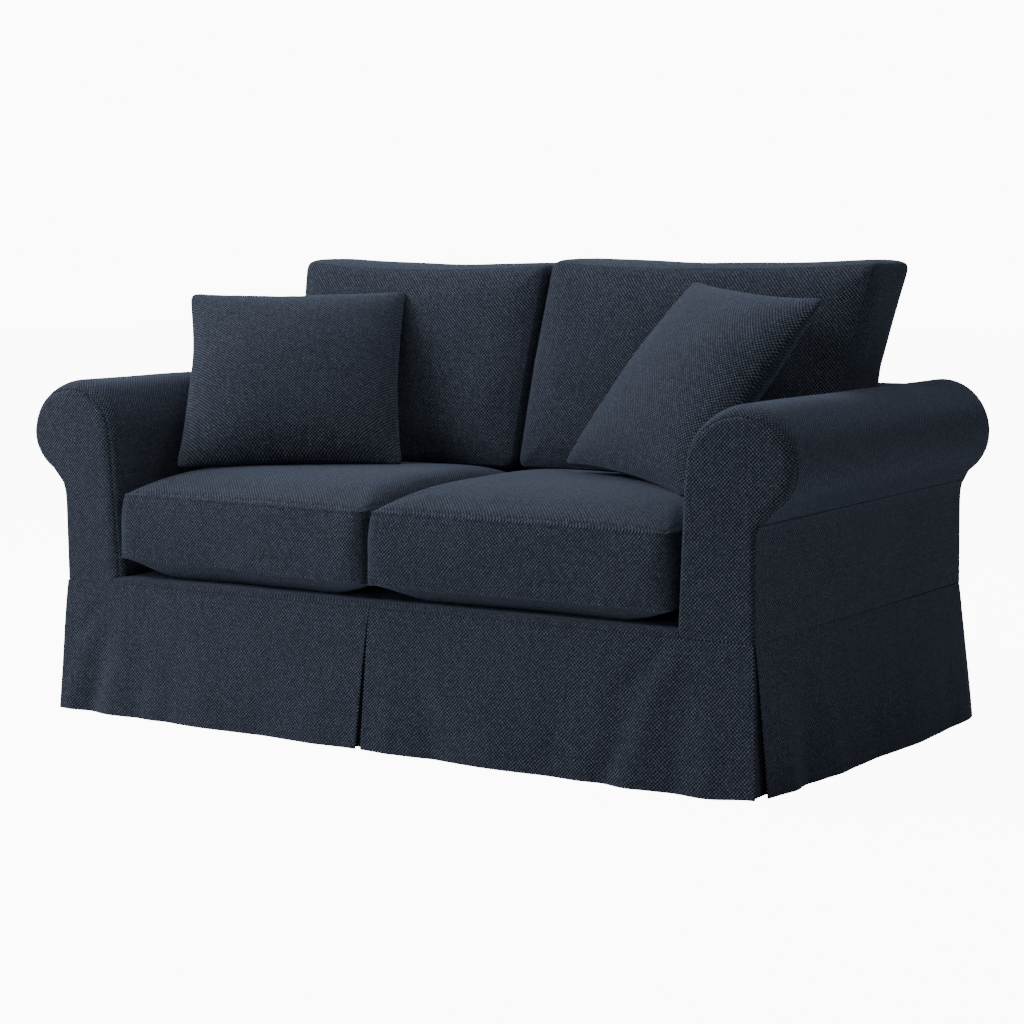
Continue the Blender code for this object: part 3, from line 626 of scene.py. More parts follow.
def finish_panel(obj, node, points, flat, edge_gap, facing, slack, seed):
    """Bend a cut panel to its points and turn it into cloth. facing is -1 for a panel that
    faces the front and 1 for the back."""
    mesh = obj.data
    write_points(mesh, points)
    if sum(face.normal.y * face.area for face in mesh.polygons) * facing < 0:
        in_edit_mode(obj, bpy.ops.mesh.flip_normals)
    normals = read_vectors(mesh.vertex_normals, "vector")
    write_points(mesh, settle(points, normals, edge_gap, slack, seed))
    write_map(mesh, flat)
    thicken(obj)
    finish_piece(obj, node)
    width, height = flat.max(axis=0) - flat.min(axis=0)
    return obj


# %% Facings and outside back
FACING_SWELL = 0.0025      # how far the middle of a facing stands out
FACING_CUT, BACK_CUT = 0.004, 0.014
EAR_TURN = 105             # the outside back follows each roll as far round as this
BACK_TOP_HALF = 0.700      # and its top is straight as far out as this


def make_arm_front(side, node, seed):
    places, ways, sizes = arm_edge(side)
    foot = [(x, BODY_FOOT) for x in spread(places[-1, 0], places[0, 0], 30)[1:-1]]
    obj = cut_panel(node, [*map(tuple, places), *foot], FACING_CUT)
    plan = read_points(obj.data)[:, [0, 2]]
    gap, along = nearest_on(plan, places)
    index = np.arange(len(places))
    side_place, way = (np.stack([np.interp(along, index, array[:, axis]) for axis in (0, 1)], axis=1)
                       for array in (places, ways))
    size = np.stack([np.interp(along, index, sizes[:, axis]) for axis in range(3)], axis=1)
    aimed = (plan - side_place) / np.maximum(gap, 1e-9)[:, None]
    way = np.where(gap[:, None] > 1e-4, aimed, way)
    share = np.maximum(1 - gap / size[:, 0], 0.0)
    swing = share * size[:, 2]
    inward, back = rounding(size, swing)
    lengths = np.array([swing_lengths(row, np.linspace(0.0, row[2], 25)) for row in size])
    reach = np.array([np.interp(part * 24, np.arange(25), row) for part, row in zip(share, lengths)])
    bent = side_place + way * inward[:, None]
    flat = side_place + way * (size[:, 0] - reach)[:, None]
    inside = (share <= 0)[:, None]
    bent, flat = np.where(inside, plan, bent), np.where(inside, plan, flat)
    seam_gap = np.where(share > 0, lengths[:, -1] - reach, lengths[:, -1] + gap - size[:, 0])
    round_part = np.hypot(plan[:, 0] - ROLL_X, plan[:, 1] - ROLL_Z) / ARM_FRONT["radius"]
    swell = FACING_SWELL * np.maximum(1 - round_part ** 2, 0.0)
    points = np.stack([side * bent[:, 0], FRONT + back - swell, bent[:, 1]], axis=1)
    return finish_panel(obj, node, points, flat * (side, 1), seam_gap, facing=-1, slack=0.0008, seed=seed)


def make_outside_back():
    left, right = ([(side * x, z) for x, z, turn in arm_section(side, BACK) if turn <= EAR_TURN]
                   + [(side * x, z) for x, z in outside_points(BACK)[1:]] for side in (-1, 1))
    top = [(x, FRAME_TOP - 0.003) for x in spread(-BACK_TOP_HALF, BACK_TOP_HALF, 60)]
    foot = [(x, BODY_FOOT) for x in spread(BODY_HALF_BACK, -BODY_HALF_BACK, 80)[1:-1]]
    outline = left[::-1] + top + right + foot
    obj = cut_panel("outside_back", outline, BACK_CUT)
    flat = read_points(obj.data)[:, [0, 2]]
    gap, _ = nearest_on(flat, np.array(outline + outline[:1]))
    points = np.stack([flat[:, 0], np.full(len(flat), BACK), flat[:, 1]], axis=1)
    return finish_panel(obj, "outside_back", points, flat, gap, facing=1, slack=0.0020, seed=5.0)


facings = [make_arm_front(side, f"arm_front_{word}", 21.0 + side) for side, word in SIDES]
outside_back = make_outside_back()
print("flat panels:", len(facings) + 1)

# %% [markdown]
# ## Outside arms
# The panel under each roll hangs flat down to the skirt, behind the facing's rounded edge.
# Real covers are never quite flat here, so it is given more slack.

# %% Outside arm panels
def make_outside_arm(side, node, seed):
    places, _, all_sizes = arm_edge(side)
    first, sizes = places[SECTION_POINTS - 1:], all_sizes[-1]
    swings = np.linspace(sizes[2], LAST_SWING, 40)
    lengths = swing_lengths(sizes, swings)
    whole = lengths[-1] + INNER_BACK - FRONT - rounding(sizes, swings[-1])[1]
    last = np.array(outside_points(BACK))
    grid = []
    for front, rear in zip(first, last):
        row = []
        for reach in with_seams(0.0, whole, 0.013):
            inward, back = rounding(sizes, np.interp(reach, lengths, swings))
            back += max(reach - lengths[-1], 0.0)
            x, z = front + (rear - front) * back / BODY_DEPTH
            row.append((side * (x - inward), FRONT + back, z))
        grid.append(row)
    return lay_panel(node, grid[::-1], "LRBT", slack=0.0022, seed=seed,
                     flip=side < 0, dip=FLAT_DIP)


outside_arms = [make_outside_arm(side, f"outside_arm_{word}", 31.0 + side) for side, word in SIDES]
print("outside arms:", len(outside_arms))

# %% [markdown]
# ## Deck and inside back
# The deck is the cloth under the seat cushions. Only its rolled front edge shows, as a pale
# band above the skirt. The inside back is covered by cushions up to its top edge, which
# turns over the back frame. Both are swept like the arms: a profile of points, repeated.

# %% Deck and inside back panels
DECK_TUCK = 0.0006         # the deck's front corners stay this far behind the arms' rounding
BACK_SAG = 0.005           # the inside back's ends follow the arms this much lower down
BACK_BEND = 0.005          # how far its lean goes on round the top corner
BACK_PANEL_SWELL = 0.002   # how far its top stands up


def inner_face_x(side, height, y):
    """Centre line to the inside arm at a height, up to the crest of the roll."""
    radius = arm_at("radius", y)
    if height <= ROLL_Z:
        rise = (height - SKIRT_SEAM) / (ROLL_Z - SKIRT_SEAM)
        return SEAT_HALF + (ROLL_X - radius - SEAT_HALF) * rise
    part = (height - ROLL_Z) / ROLLS[side]["top"]
    return ROLL_X - radius * math.sqrt(max(1 - part ** 2, 0.0))


def deck_end(side, y):
    """Centre line to the deck's end, which follows the rounded front of the inside arm."""
    edge = ARM_EDGES[side][-1]
    reach = min(max((y - FRONT) / edge["depth"], 0.0), 1.0)
    if reach == 1.0:
        return SEAT_HALF - SEAM_GAP
    return SEAT_HALF + edge["inset"] * (1 - math.sqrt(1 - (1 - reach) ** 2)) - DECK_TUCK


def make_deck():
    rows = [(FRONT, BODY_FOOT + step) for step in SEAM_ROWS[:3]]
    for turn in spread(0, 90, 9):
        swing = math.radians(turn)
        rows.append((FRONT + DECK_ROLL * (1 - math.cos(swing)),
                     DECK_TOP - DECK_ROLL * (1 - math.sin(swing))))
    rows += [(y, DECK_TOP) for y in spread(FRONT + 0.018, FRAME_FOOT - CLOTH - SEAM_GAP, 34)]
    grid = [[(x, y, z) for x in spread(-deck_end(-1, y), deck_end(1, y), 120)] for y, z in rows]
    return lay_panel("deck", grid, "B", slack=0.0010, seed=41.0, dip=FLAT_DIP)


def make_inside_back():
    bend = FRAME_TOP - FRAME_CORNER
    rows = [(FRAME_FOOT + FRAME_LEAN * (z - DECK_TOP), z) for z in spread(BODY_FOOT + 0.003, bend, 34)]
    start_y = rows[-1][0]
    for turn in spread(0, 90, 8)[1:]:
        swing = math.radians(turn)
        rows.append((start_y + FRAME_CORNER * (1 - math.cos(swing)) + BACK_BEND * math.sin(swing),
                     bend + FRAME_CORNER * math.sin(swing)))
    last = rows[-1][0]
    for part in with_seams(0.0, INNER_BACK - last, 0.012, low_sewn=False)[1:]:
        share = part / (INNER_BACK - last)
        rows.append((last + part, FRAME_TOP + BACK_PANEL_SWELL * (math.sin(math.pi * share) - share)))
    grid = []
    for y, z in rows:
        left, right = (inner_face_x(side, min(z, FRAME_TOP) - BACK_SAG, y) - SEAM_GAP for side in (-1, 1))
        grid.append([(x, y, z) for x in spread(-left, right, 120)])
    return lay_panel("inside_back", grid, "LRT", slack=0.0012, seed=51.0)


deck, inside_back = make_deck(), make_inside_back()
print("deck and inside back:", deck.name, inside_back.name)

# %% [markdown]
# ## Skirt
# Five loose panels hang from one seam round the body. Each kicks out a little under the
# seam and falls straight, with a few long soft folds that start at the seam and open
# towards the hem. Simulation gives folds, but not these folds, so each is one row of a
# table: where it is at the hem, how far it stands out, how wide it is, how it leans, and
# where it begins. A panel's free ends turn in at the kick pleats.

# %% Skirt tables
SKIRT_KICK = 0.026         # how far the hem stands out in front

# top and hem: where each panel starts and ends; lift: how much higher its hem is there
SKIRTS = {
    "skirt_front_left": {
        "top": ((-0.8205, FRONT), (-0.0128, FRONT)),
        "hem": ((-0.8330, FRONT - SKIRT_KICK), (-0.0350, FRONT - SKIRT_KICK)),
        "lift": (0.001, 0.001),
    },
    "skirt_front_right": {
        "top": ((-0.0122, FRONT), (0.8205, FRONT)),
        "hem": ((-0.0235, FRONT - SKIRT_KICK), (0.8360, FRONT - 0.025)),
        "lift": (0.001, 0.008),
    },
    "skirt_side_right": {
        "top": ((BODY_HALF, FRONT + 0.004), (BODY_HALF_BACK, BACK - 0.004)),
        "hem": ((0.8345, FRONT + 0.026), (0.8575, BACK + 0.002)),
        "lift": (0.002, 0.002),
    },
    "skirt_back": {
        "top": ((0.8285, BACK), (-0.8285, BACK)),
        "hem": ((0.8455, BACK + 0.018), (-0.8455, BACK + 0.018)),
        "lift": (0.003, 0.003),
    },
    "skirt_side_left": {
        "top": ((-BODY_HALF_BACK, BACK - 0.004), (-BODY_HALF, FRONT + 0.004)),
        "hem": ((-0.8555, BACK + 0.002), (-0.8500, FRONT + 0.010)),
        "lift": (0.002, 0.003),
    },
}

# at: metres from the panel's left end at the hem; out: how far the cloth stands out there;
# half: half the fold's width; lean: how far along the fold sits at the seam; begin: part of
# the drop above which it fades out.
FOLD = "at out half lean begin"
SKIRT_FOLDS = {
    "skirt_front_left": table(
        FOLD,
        (0.020, 0.003, 0.030, 0.080, 0.0), (0.085, -0.008, 0.028, 0.060, 0.0),
        (0.150, 0.004, 0.035, 0.030, 0.2), (0.220, -0.003, 0.020, 0.010, 0.5),
        (0.305, -0.003, 0.022, 0.015, 0.5), (0.400, 0.004, 0.060, 0.020, 0.2),
        (0.560, -0.004, 0.050, 0.020, 0.2), (0.690, 0.003, 0.040, 0.010, 0.4)),
    "skirt_front_right": table(
        FOLD,
        (0.060, 0.003, 0.025, 0.000, 0.5), (0.170, -0.006, 0.035, -0.070, 0.1),
        (0.300, 0.004, 0.060, -0.020, 0.2), (0.430, -0.004, 0.040, 0.050, 0.3),
        (0.545, -0.006, 0.028, 0.105, 0.0), (0.600, 0.006, 0.030, 0.100, 0.0),
        (0.695, -0.005, 0.030, 0.030, 0.0), (0.765, 0.004, 0.028, 0.020, 0.1)),
    "skirt_side_right": table(
        FOLD,
        (0.085, 0.005, 0.030, -0.050, 0.1), (0.135, -0.005, 0.028, 0.010, 0.1),
        (0.250, 0.005, 0.035, -0.060, 0.1), (0.400, -0.004, 0.050, 0.020, 0.2),
        (0.560, 0.004, 0.050, 0.010, 0.2), (0.720, -0.003, 0.040, 0.000, 0.3),
        (0.520, 0.015, 0.400, 0.000, 0.0)),
    "skirt_back": table(
        FOLD,
        (0.150, 0.005, 0.050, -0.030, 0.1), (0.380, -0.006, 0.050, 0.020, 0.1),
        (0.700, 0.005, 0.070, -0.020, 0.2), (0.960, -0.005, 0.050, 0.030, 0.1),
        (1.250, 0.005, 0.060, 0.020, 0.1), (1.500, -0.004, 0.040, 0.020, 0.2)),
    "skirt_side_left": table(
        FOLD,
        (0.160, -0.004, 0.040, 0.010, 0.2), (0.350, 0.005, 0.050, 0.020, 0.1),
        (0.540, -0.005, 0.045, -0.020, 0.1), (0.740, 0.004, 0.040, -0.030, 0.1)),
}

# Drag lines that run down from the seam, in metres along the panel and up from its hem.
SKIRT_CREASES = {
    "skirt_front_left": table(CREASE, ((0.115, 0.245), (0.034, 0.150), 0.014, -0.0032)),
    "skirt_front_right": table(CREASE,
                               ((0.668, 0.262), (0.555, 0.150), 0.016, -0.0036),
                               ((0.700, 0.250), (0.605, 0.110), 0.018, 0.0028)),
}

SKIRT_EASE = 0.85          # under 1 the skirt kicks out near its seam and then falls straight
SKIRT_TURN = 0.0022        # radius of the turned-in end of a panel, at the hem
SKIRT_SPACING = 0.0085
CALM_END = 0.03            # the folds are weaker this near to a panel's ends
LIFT_REACH = 0.06          # and its hem is higher

# %% Skirt panels
def fold_offset(folds, along, drop):
    """How far the skirt stands out at a distance along its hem and a part of its drop."""
    total = 0.0
    for fold in folds:
        centre = fold["at"] + fold["lean"] * (1 - drop)
        bell = math.exp(-((along - centre) / fold["half"]) ** 2)
        strength = fade((drop - fold["begin"]) / (1 - fold["begin"]))
        total += fold["out"] * bell * (0.25 * drop + 0.75 * strength)
    return total


def skirt_point(panel, folds, part, drop, inward):
    """A point of a skirt panel: part runs along it, drop from its seam to its hem."""
    (top_start, top_end), (hem_start, hem_end) = (map(Vector, panel[edge]) for edge in ("top", "hem"))
    length = (hem_end - hem_start).length
    along = (top_end - top_start).normalized()
    outward = Vector((along.y, -along.x))
    flat = top_start.lerp(top_end, part).lerp(hem_start.lerp(hem_end, part), drop ** SKIRT_EASE)
    ends = fade(part * length / CALM_END) * fade((1 - part) * length / CALM_END)
    flat += outward * (fold_offset(folds, part * length, drop) * (0.3 + 0.7 * ends) - inward)
    lift = sum(size * math.exp(-(share * length / LIFT_REACH) ** 2)
               for size, share in zip(panel["lift"], (part, 1 - part)))
    return (flat.x, flat.y, SKIRT_SEAM * (1 - drop) + (SKIRT_HEM + lift) * drop)


def make_skirt(node, seed):
    panel, folds = SKIRTS[node], SKIRT_FOLDS[node]
    length = (Vector(panel["top"][1]) - Vector(panel["top"][0])).length
    turns = [math.radians(turn) for turn in (90, 67.5, 45, 22.5)]
    inner = spread(SKIRT_TURN / length, 1 - SKIRT_TURN / length, round(length / SKIRT_SPACING))
    grid = []
    for depth in reversed(with_seams(0.0, SKIRT_SEAM, 0.010, high_sewn=False)):
        drop = depth / SKIRT_SEAM
        radius = SKIRT_TURN * (0.35 + 0.65 * drop)
        turned = [(radius * (1 - math.sin(turn)) / length, radius * (1 - math.cos(turn)))
                  for turn in turns]
        places = [*turned, *((part, 0.0) for part in inner),
                  *((1 - part, inward) for part, inward in reversed(turned))]
        grid.append([skirt_point(panel, folds, part, drop, inward) for part, inward in places])
    return lay_panel(node, grid, "T", slack=0.0012, seed=seed, dip=FLAT_DIP,
                     creases=SKIRT_CREASES.get(node, ()))


skirts = [make_skirt(node, 61.0 + index) for index, node in enumerate(SKIRTS)]
print("skirt panels:", len(skirts))

# %% [markdown]
# ## Underlays
# Behind each opening of the skirt hangs a separate piece of cloth, so that the sofa never
# shows through a kick pleat. Each is flat or folded round a corner, and a little shorter.

# %% Underlay panels
UNDERLAY_REACH = 0.085
UNDERLAY_INSET = 0.011     # how far behind the skirt it hangs
UNDERLAY_CORNER = 0.008    # radius where it is folded
PLEAT_TOP, PLEAT_LEAN = -0.012, -0.017     # the front pleat's place, and how far its hem is along
SIDE_KICK, CORNER_KICK = 0.012, {-1: 0.020, 1: 0.010}  # how far the corners' hems stand out
FRONT_UNDERLAY_HEM, CORNER_UNDERLAY_HEM = 0.003, 0.004
UNDERLAY_SLACK = 0.0003


def underlay_rows(hem):
    """Height, part of the skirt's drop and distance in from the skirt of each row."""
    for height in spread(hem, SKIRT_SEAM - 0.002, 28):
        drop = 1 - height / SKIRT_SEAM
        yield height, drop, CLOTH + 2 * SEAM_GAP + UNDERLAY_INSET * fade(drop * 1.4)


def make_front_underlay():
    grid = []
    for height, drop, inset in underlay_rows(FRONT_UNDERLAY_HEM):
        shift = PLEAT_TOP + PLEAT_LEAN * drop
        y = FRONT - SKIRT_KICK * drop ** SKIRT_EASE + inset
        grid.append([(x, y, height) for x in spread(shift - UNDERLAY_REACH, shift + UNDERLAY_REACH, 18)])
    return lay_panel("underlay_front", grid, "", slack=UNDERLAY_SLACK, seed=71.0)


def make_corner_underlay(side_x, side_y, node, seed):
    grid = []
    turns = spread(0, math.pi / 2, 6)[1:]
    for height, drop, inset in underlay_rows(CORNER_UNDERLAY_HEM):
        x = (BODY_HALF if side_y < 0 else BODY_HALF_BACK) + SIDE_KICK * drop - inset
        y = BODY_DEPTH / 2 + CORNER_KICK[side_y] * drop - inset
        path = [(reach, 0.0) for reach in spread(UNDERLAY_REACH, UNDERLAY_CORNER, 9)]
        path += [(UNDERLAY_CORNER * (1 - math.sin(turn)), UNDERLAY_CORNER * (1 - math.cos(turn)))
                 for turn in turns]
        path += [(0.0, reach) for reach in spread(UNDERLAY_CORNER, UNDERLAY_REACH, 9)[1:]]
        grid.append([(side_x * (x - in_x), side_y * (y - in_y), height) for in_x, in_y in path])
    return lay_panel(node, grid, "", slack=UNDERLAY_SLACK, seed=seed,
                     flip=side_x * side_y > 0)


underlays = [make_front_underlay()]
for side_x, word in SIDES:
    for side_y, end in ((-1, "front"), (1, "back")):
        underlays.append(make_corner_underlay(side_x, side_y, f"underlay_corner_{end}_{word}", 73.0))
print("underlays:", len(underlays))

# %% [markdown]
# ## Cushions
# A cushion is filled, so its cloth is in tension and every face swells. Each starts as a
# cube primitive, cut across into rows that lie closer together at its seams, and its points
# are placed by the cushion's own rule. Blender's Cloth with a little pressure and no gravity
# then blows it up, with a limit on how far a point may move, so the seams hold while the
# faces between them fill. One subdivision and the seams and creases come last. A voxel
# remesh isn't needed, because the cut cube already has even faces and keeps its seams.

# %% Helpers for cushions
CUSHION_PRESSURE = 3.0
CUSHION_ROWS = (0.0025, 0.005, 0.010)  # how far rows of points lie from a cushion's ends
CUSHION_SPACING = 0.012
FRAMES = 20                            # of the simulation


def cut_cube(name, cuts):
    """A cube from -1 to 1, cut across at places along each axis."""
    select_only()
    bpy.ops.mesh.primitive_cube_add(size=2.0)
    obj = bpy.context.object
    obj.name = obj.data.name = name
    bpy.ops.object.mode_set(mode="EDIT")
    for axis, places in enumerate(cuts):
        normal = [1.0 if index == axis else 0.0 for index in range(3)]
        for place in places:
            bpy.ops.mesh.select_all(action="SELECT")
            bpy.ops.mesh.bisect(plane_co=[place * part for part in normal], plane_no=normal)
    bpy.ops.object.mode_set(mode="OBJECT")
    return obj


def cube_cuts(half, spacing):
    """Cuts for one axis of a cushion that is twice half long, closer beside its ends."""
    inner = half - CUSHION_ROWS[-1]
    places = spread(-inner, inner, 2 * max(round(inner / spacing), 1) + 1)
    places += [side * (half - step) for step in CUSHION_ROWS[:-1] for side in (-1, 1)]
    return sorted(place / half for place in places)


def map_cushion(mesh, half, under=None):
    """Weave map of each face of the cut cube, laid flat on the side that it faces. under:
    where the underside's front and back start to curve up, and how much longer that makes it."""
    layer = fresh_map(mesh)
    points = read_points(mesh) * np.array(half)
    flat = {0: (1, 2), 1: (0, 2), 2: (0, 1)}
    for face in mesh.polygons:
        axis = max(range(3), key=lambda index: abs(face.normal[index]))
        for corner in face.loop_indices:
            point = points[mesh.loops[corner].vertex_index]
            place = [point[index] for index in flat[axis]]
            if under and face.normal.z < -0.5:
                past = max(abs(point[1]) - under[0], 0.0) / (half[1] - under[0])
                place[1] += math.copysign(under[1] * past ** 3, point[1])
            layer.data[corner].uv = place


def inflate(obj, held, reach):
    """Blow up a closed cushion. Held points stay, and no other moves further than reach."""
    start = read_points(obj.data)
    obj.vertex_groups.new(name="held").add([int(index) for index in np.flatnonzero(held)], 1.0, "REPLACE")
    modifier = obj.modifiers.new("filling", "CLOTH")
    settings = modifier.settings
    settings.quality = 5
    settings.mass = 0.3
    settings.tension_stiffness = settings.compression_stiffness = 12.0
    settings.shear_stiffness = 4.0
    settings.bending_stiffness = 0.6
    settings.vertex_group_mass = "held"
    settings.use_pressure = True
    settings.uniform_pressure_force = CUSHION_PRESSURE
    settings.effector_weights.gravity = 0.0
    modifier.collision_settings.use_collision = False
    for step in range(1, FRAMES + 1):
        bpy.context.scene.frame_set(step)
    select_only(obj)
    bpy.ops.object.modifier_apply(modifier=modifier.name)
    bpy.context.scene.frame_set(1)
    moved = read_points(obj.data) - start
    length = np.maximum(np.linalg.norm(moved, axis=1, keepdims=True), 1e-9)
    capped = start + moved / length * reach * np.tanh(length / reach)
    write_points(obj.data, capped)
    print(obj.name, "moved up to", round(float(np.abs(capped - start).max()) * 1000, 1), "mm")


def crease_edges(mesh, sewn):
    """Keep the edges sharp whose two ends are both sewn points."""
    sharp = mesh.attributes.new("crease_edge", "FLOAT", "EDGE")
    ends = np.array([edge.vertices for edge in mesh.edges])
    sharp.data.foreach_set("value", (sewn[ends[:, 0]] & sewn[ends[:, 1]]).astype(np.float32))


def make_cushion(node, half, spacings, shape, detail, reach, placing=None, floor_height=None,
                 sewn=None, under=None):
    """half: half sizes for the weave map; spacings: between rows along each axis, if any;
    shape: the place of a point of the cube; detail: how far the finished surface stands out,
    given cube places and points; reach: how far it may swell; sewn: which points have sharp
    edges between them, given whether each is at an end of each axis."""
    cuts = [cube_cuts(size, spacing) if spacing else [] for size, spacing in zip(half, spacings)]
    obj = cut_cube(node + "_filled", cuts)
    mesh = obj.data
    map_cushion(mesh, half, under)
    cube = read_points(mesh)
    keep = mesh.attributes.new("cube", "FLOAT_VECTOR", "POINT")
    keep.data.foreach_set("vector", cube.astype(np.float32).ravel())
    write_points(mesh, np.array([shape(*point) for point in cube]))
    at_end = abs(cube) > 0.9999
    inflate(obj, at_end.sum(axis=1) > 1, reach)
    if floor_height is not None:
        points = read_points(mesh)
        points[:, 2] = np.maximum(points[:, 2], floor_height)
        write_points(mesh, points)
    if sewn:
        crease_edges(mesh, sewn(at_end))
    select_only(obj)
    apply_modifier(obj, "SUBSURF", levels=1, render_levels=1)
    cube = read_vectors(mesh.attributes["cube"].data, "vector")
    mesh.attributes.remove(mesh.attributes["cube"])
    points = read_points(mesh)
    points = points + read_vectors(mesh.vertex_normals, "vector") * detail(cube, points)[:, None]
    if placing:
        points = points @ np.array(placing.to_3x3()).T + np.array(placing.translation)
    write_points(mesh, points)
    finish_piece(obj, node, rounding=70)
    return obj


print("cushion helpers ready")

# %% [markdown]
# ### Seat cushions
# Each is a box of foam in soft wadding: two flat covers joined by a boxing strip, with a
# seam along both edges. The top is crowned and stays full almost to its sides, the boxing
# swells a little, and the underside curves up to its seam, so a dark line shows below it.

# %% Seat cushions
# left and right: its ends; high and low: heights of its two seams at those ends
SEATS = {
    "seat_cushion_left": dict(left=-0.660, right=-0.0163, high=(0.463, 0.459), low=(0.332, 0.321)),
    "seat_cushion_right": dict(left=-0.0157, right=0.661, high=(0.461, 0.4565), low=(0.321, 0.321)),
}
SEAT_FRONT, SEAT_BACK = FRONT - 0.011, 0.200
SEAT_UNDER, SEAT_TOP = DECK_TOP + SEAM_GAP, 0.509
SEAT_FULL_ACROSS, SEAT_FULL_DEEP = 10, 2.5     # higher keeps the top full nearer to its sides
SEAT_BELLY = {1: 0.010, -1: 0.002}     # the boxing swells this far past its high and low seam
SEAT_PULL = 0.006                      # the sides are drawn in this far at their ends
SEAT_ROUND_ACROSS, SEAT_ROUND_DEEP = 0.42, 0.17    # parts of the underside that curve up
SEAT_UNDER_LONGER = 0.0125             # and the length that this adds at its front
# radii of the upright corners at the left and right ends
SEAT_CORNERS = {-1: {"seam": 0.008, "middle": 0.020}, 1: {"seam": 0.028, "middle": 0.045}}
SEAM_RIDGE, SEAM_GROOVE = 0.0005, 0.0011
SEAT_PUCKER, SEAT_UNEVEN = 0.0007, 0.0022
SEAT_CREASES = {
    "seat_cushion_left": table(
        CREASE,
        ((-0.50, -0.437, 0.455), (-0.46, -0.444, 0.415), 0.009, -0.0012),
        ((-0.20, -0.437, 0.452), (-0.16, -0.444, 0.410), 0.010, -0.0012)),
    "seat_cushion_right": table(
        CREASE,
        ((0.50, -0.437, 0.455), (0.56, -0.444, 0.420), 0.009, -0.0018),
        ((0.58, -0.437, 0.452), (0.63, -0.442, 0.405), 0.009, -0.0018),
        ((0.10, -0.437, 0.454), (0.06, -0.444, 0.415), 0.010, -0.0012)),
}


def seam_line(gap):
    """A sewn edge stands up a little, with a groove beside it."""
    ridge, groove = np.exp(-(gap / 0.0016) ** 2), np.exp(-((gap - 0.0045) / 0.0022) ** 2)
    return SEAM_RIDGE * ridge - SEAM_GROOVE * groove


def round_corner(x, y, half_x, half_y, radius):
    """Move a point of a rectangle onto the same rectangle with rounded corners."""
    over_x, over_y = abs(x) - half_x + radius, abs(y) - half_y + radius
    if min(over_x, over_y) <= 0:
        return x, y
    shrink = max(over_x, over_y) / math.hypot(over_x, over_y)
    return (math.copysign(half_x - radius + over_x * shrink, x),
            math.copysign(half_y - radius + over_y * shrink, y))


def seat_point(span, u, v, w):
    """A point of a seat cushion, from its place on a cube from -1 to 1 on each axis."""
    half, middle = (span["right"] - span["left"]) / 2, (span["right"] + span["left"]) / 2
    deep, centre_y = (SEAT_BACK - SEAT_FRONT) / 2, (SEAT_BACK + SEAT_FRONT) / 2
    part = (1 + u) / 2
    high, low = (span[seam][0] * (1 - part) + span[seam][1] * part for seam in ("high", "low"))
    slim = SEAT_BELLY[1 if w > 0 else -1] * w * w
    x = u * (half - slim - SEAT_PULL * (1 - v * v))
    y = v * (deep - slim - SEAT_PULL * (1 - u * u))
    corner = SEAT_CORNERS[1 if u > 0 else -1]
    radius = corner["middle"] + (corner["seam"] - corner["middle"]) * w * w
    x, y = round_corner(x, y, half - slim, deep - slim, radius)
    z = (low + high) / 2 + w * (high - low) / 2
    if w > 0.999:
        full = (1 - abs(u) ** SEAT_FULL_ACROSS) * (1 - abs(v) ** SEAT_FULL_DEEP)
        z += (SEAT_TOP - high) * math.sqrt(max(full, 0.0))
    if w < -0.999:
        flat = [1 - max(1 - (1 - abs(place)) / size, 0.0) ** 2
                for place, size in ((u, SEAT_ROUND_ACROSS), (v, SEAT_ROUND_DEEP))]
        z -= (low - SEAT_UNDER) * flat[0] * flat[1]
    return middle + x, centre_y + y, z


def make_seat_cushion(node, span, seed):
    half_x, half_y = (span["right"] - span["left"]) / 2, (SEAT_BACK - SEAT_FRONT) / 2
    half_z = (sum(span["high"]) - sum(span["low"])) / 4

    def shape(u, v, w):
        return seat_point(span, u, v, w)

    def seams(at_end):
        return at_end[:, 2] & (at_end[:, 0] | at_end[:, 1])

    def detail(cube, points):
        inward = np.minimum((1 - abs(cube[:, 0])) * half_x, (1 - abs(cube[:, 1])) * half_y)
        offset = np.zeros(len(points))
        for side in (-1, 1):
            gap = np.hypot((1 - side * cube[:, 2]) * half_z, inward)
            offset += seam_line(gap)
            offset += SEAT_PUCKER * np.exp(-gap / 0.02) * unevenness(points, 0.016, seed)
        offset += SEAT_UNEVEN * unevenness(points, 0.15, seed + 3.0)
        return offset + crease_height(points, SEAT_CREASES[node])

    return make_cushion(node, (half_x, half_y, half_z), (CUSHION_SPACING, CUSHION_SPACING, 0.011),
                        shape, detail, reach=0.004, floor_height=SEAT_UNDER, sewn=seams,
                        under=(half_y * (1 - SEAT_ROUND_DEEP), SEAT_UNDER_LONGER))


seats = [make_seat_cushion(node, span, 81.0 + index)
         for index, (node, span) in enumerate(SEATS.items())]
print("seat cushions:", len(seats))

# %% [markdown]
# ### Back cushions
# These are softer: a deep boxed cushion whose edges are rounded over their whole length.
# They stand on the seat, lean on the back frame and are pressed together between the arms.

# %% Back cushions
# left and right: its ends; flare and tilt: how much further right and higher they are at the top
BACK_CUSHIONS = {
    "back_cushion_left": dict(left=-0.678, right=-0.0405, flare=(-0.022, 0.009), tilt=(0.006, -0.009)),
    "back_cushion_right": dict(left=-0.0335, right=0.705, flare=(0.009, 0.034), tilt=(0.001, -0.011)),
}
BACK_FOOT, BACK_TOP = 0.4958, 0.936
BACK_FRONT = 0.097
BACK_THICK = FRAME_FOOT + FRAME_LEAN * (BACK_FOOT - DECK_TOP) - SEAM_GAP - BACK_FRONT
BACK_SQUEEZE = 0.003       # space kept from the arms
BACK_ROUND = 0.026         # radius of the edges
BACK_SWELL = 0.020         # how far the middle of the front stands out
BACK_DIP = 0.011           # and how far the middle of the top hangs
BACK_UNEVEN = 0.0025


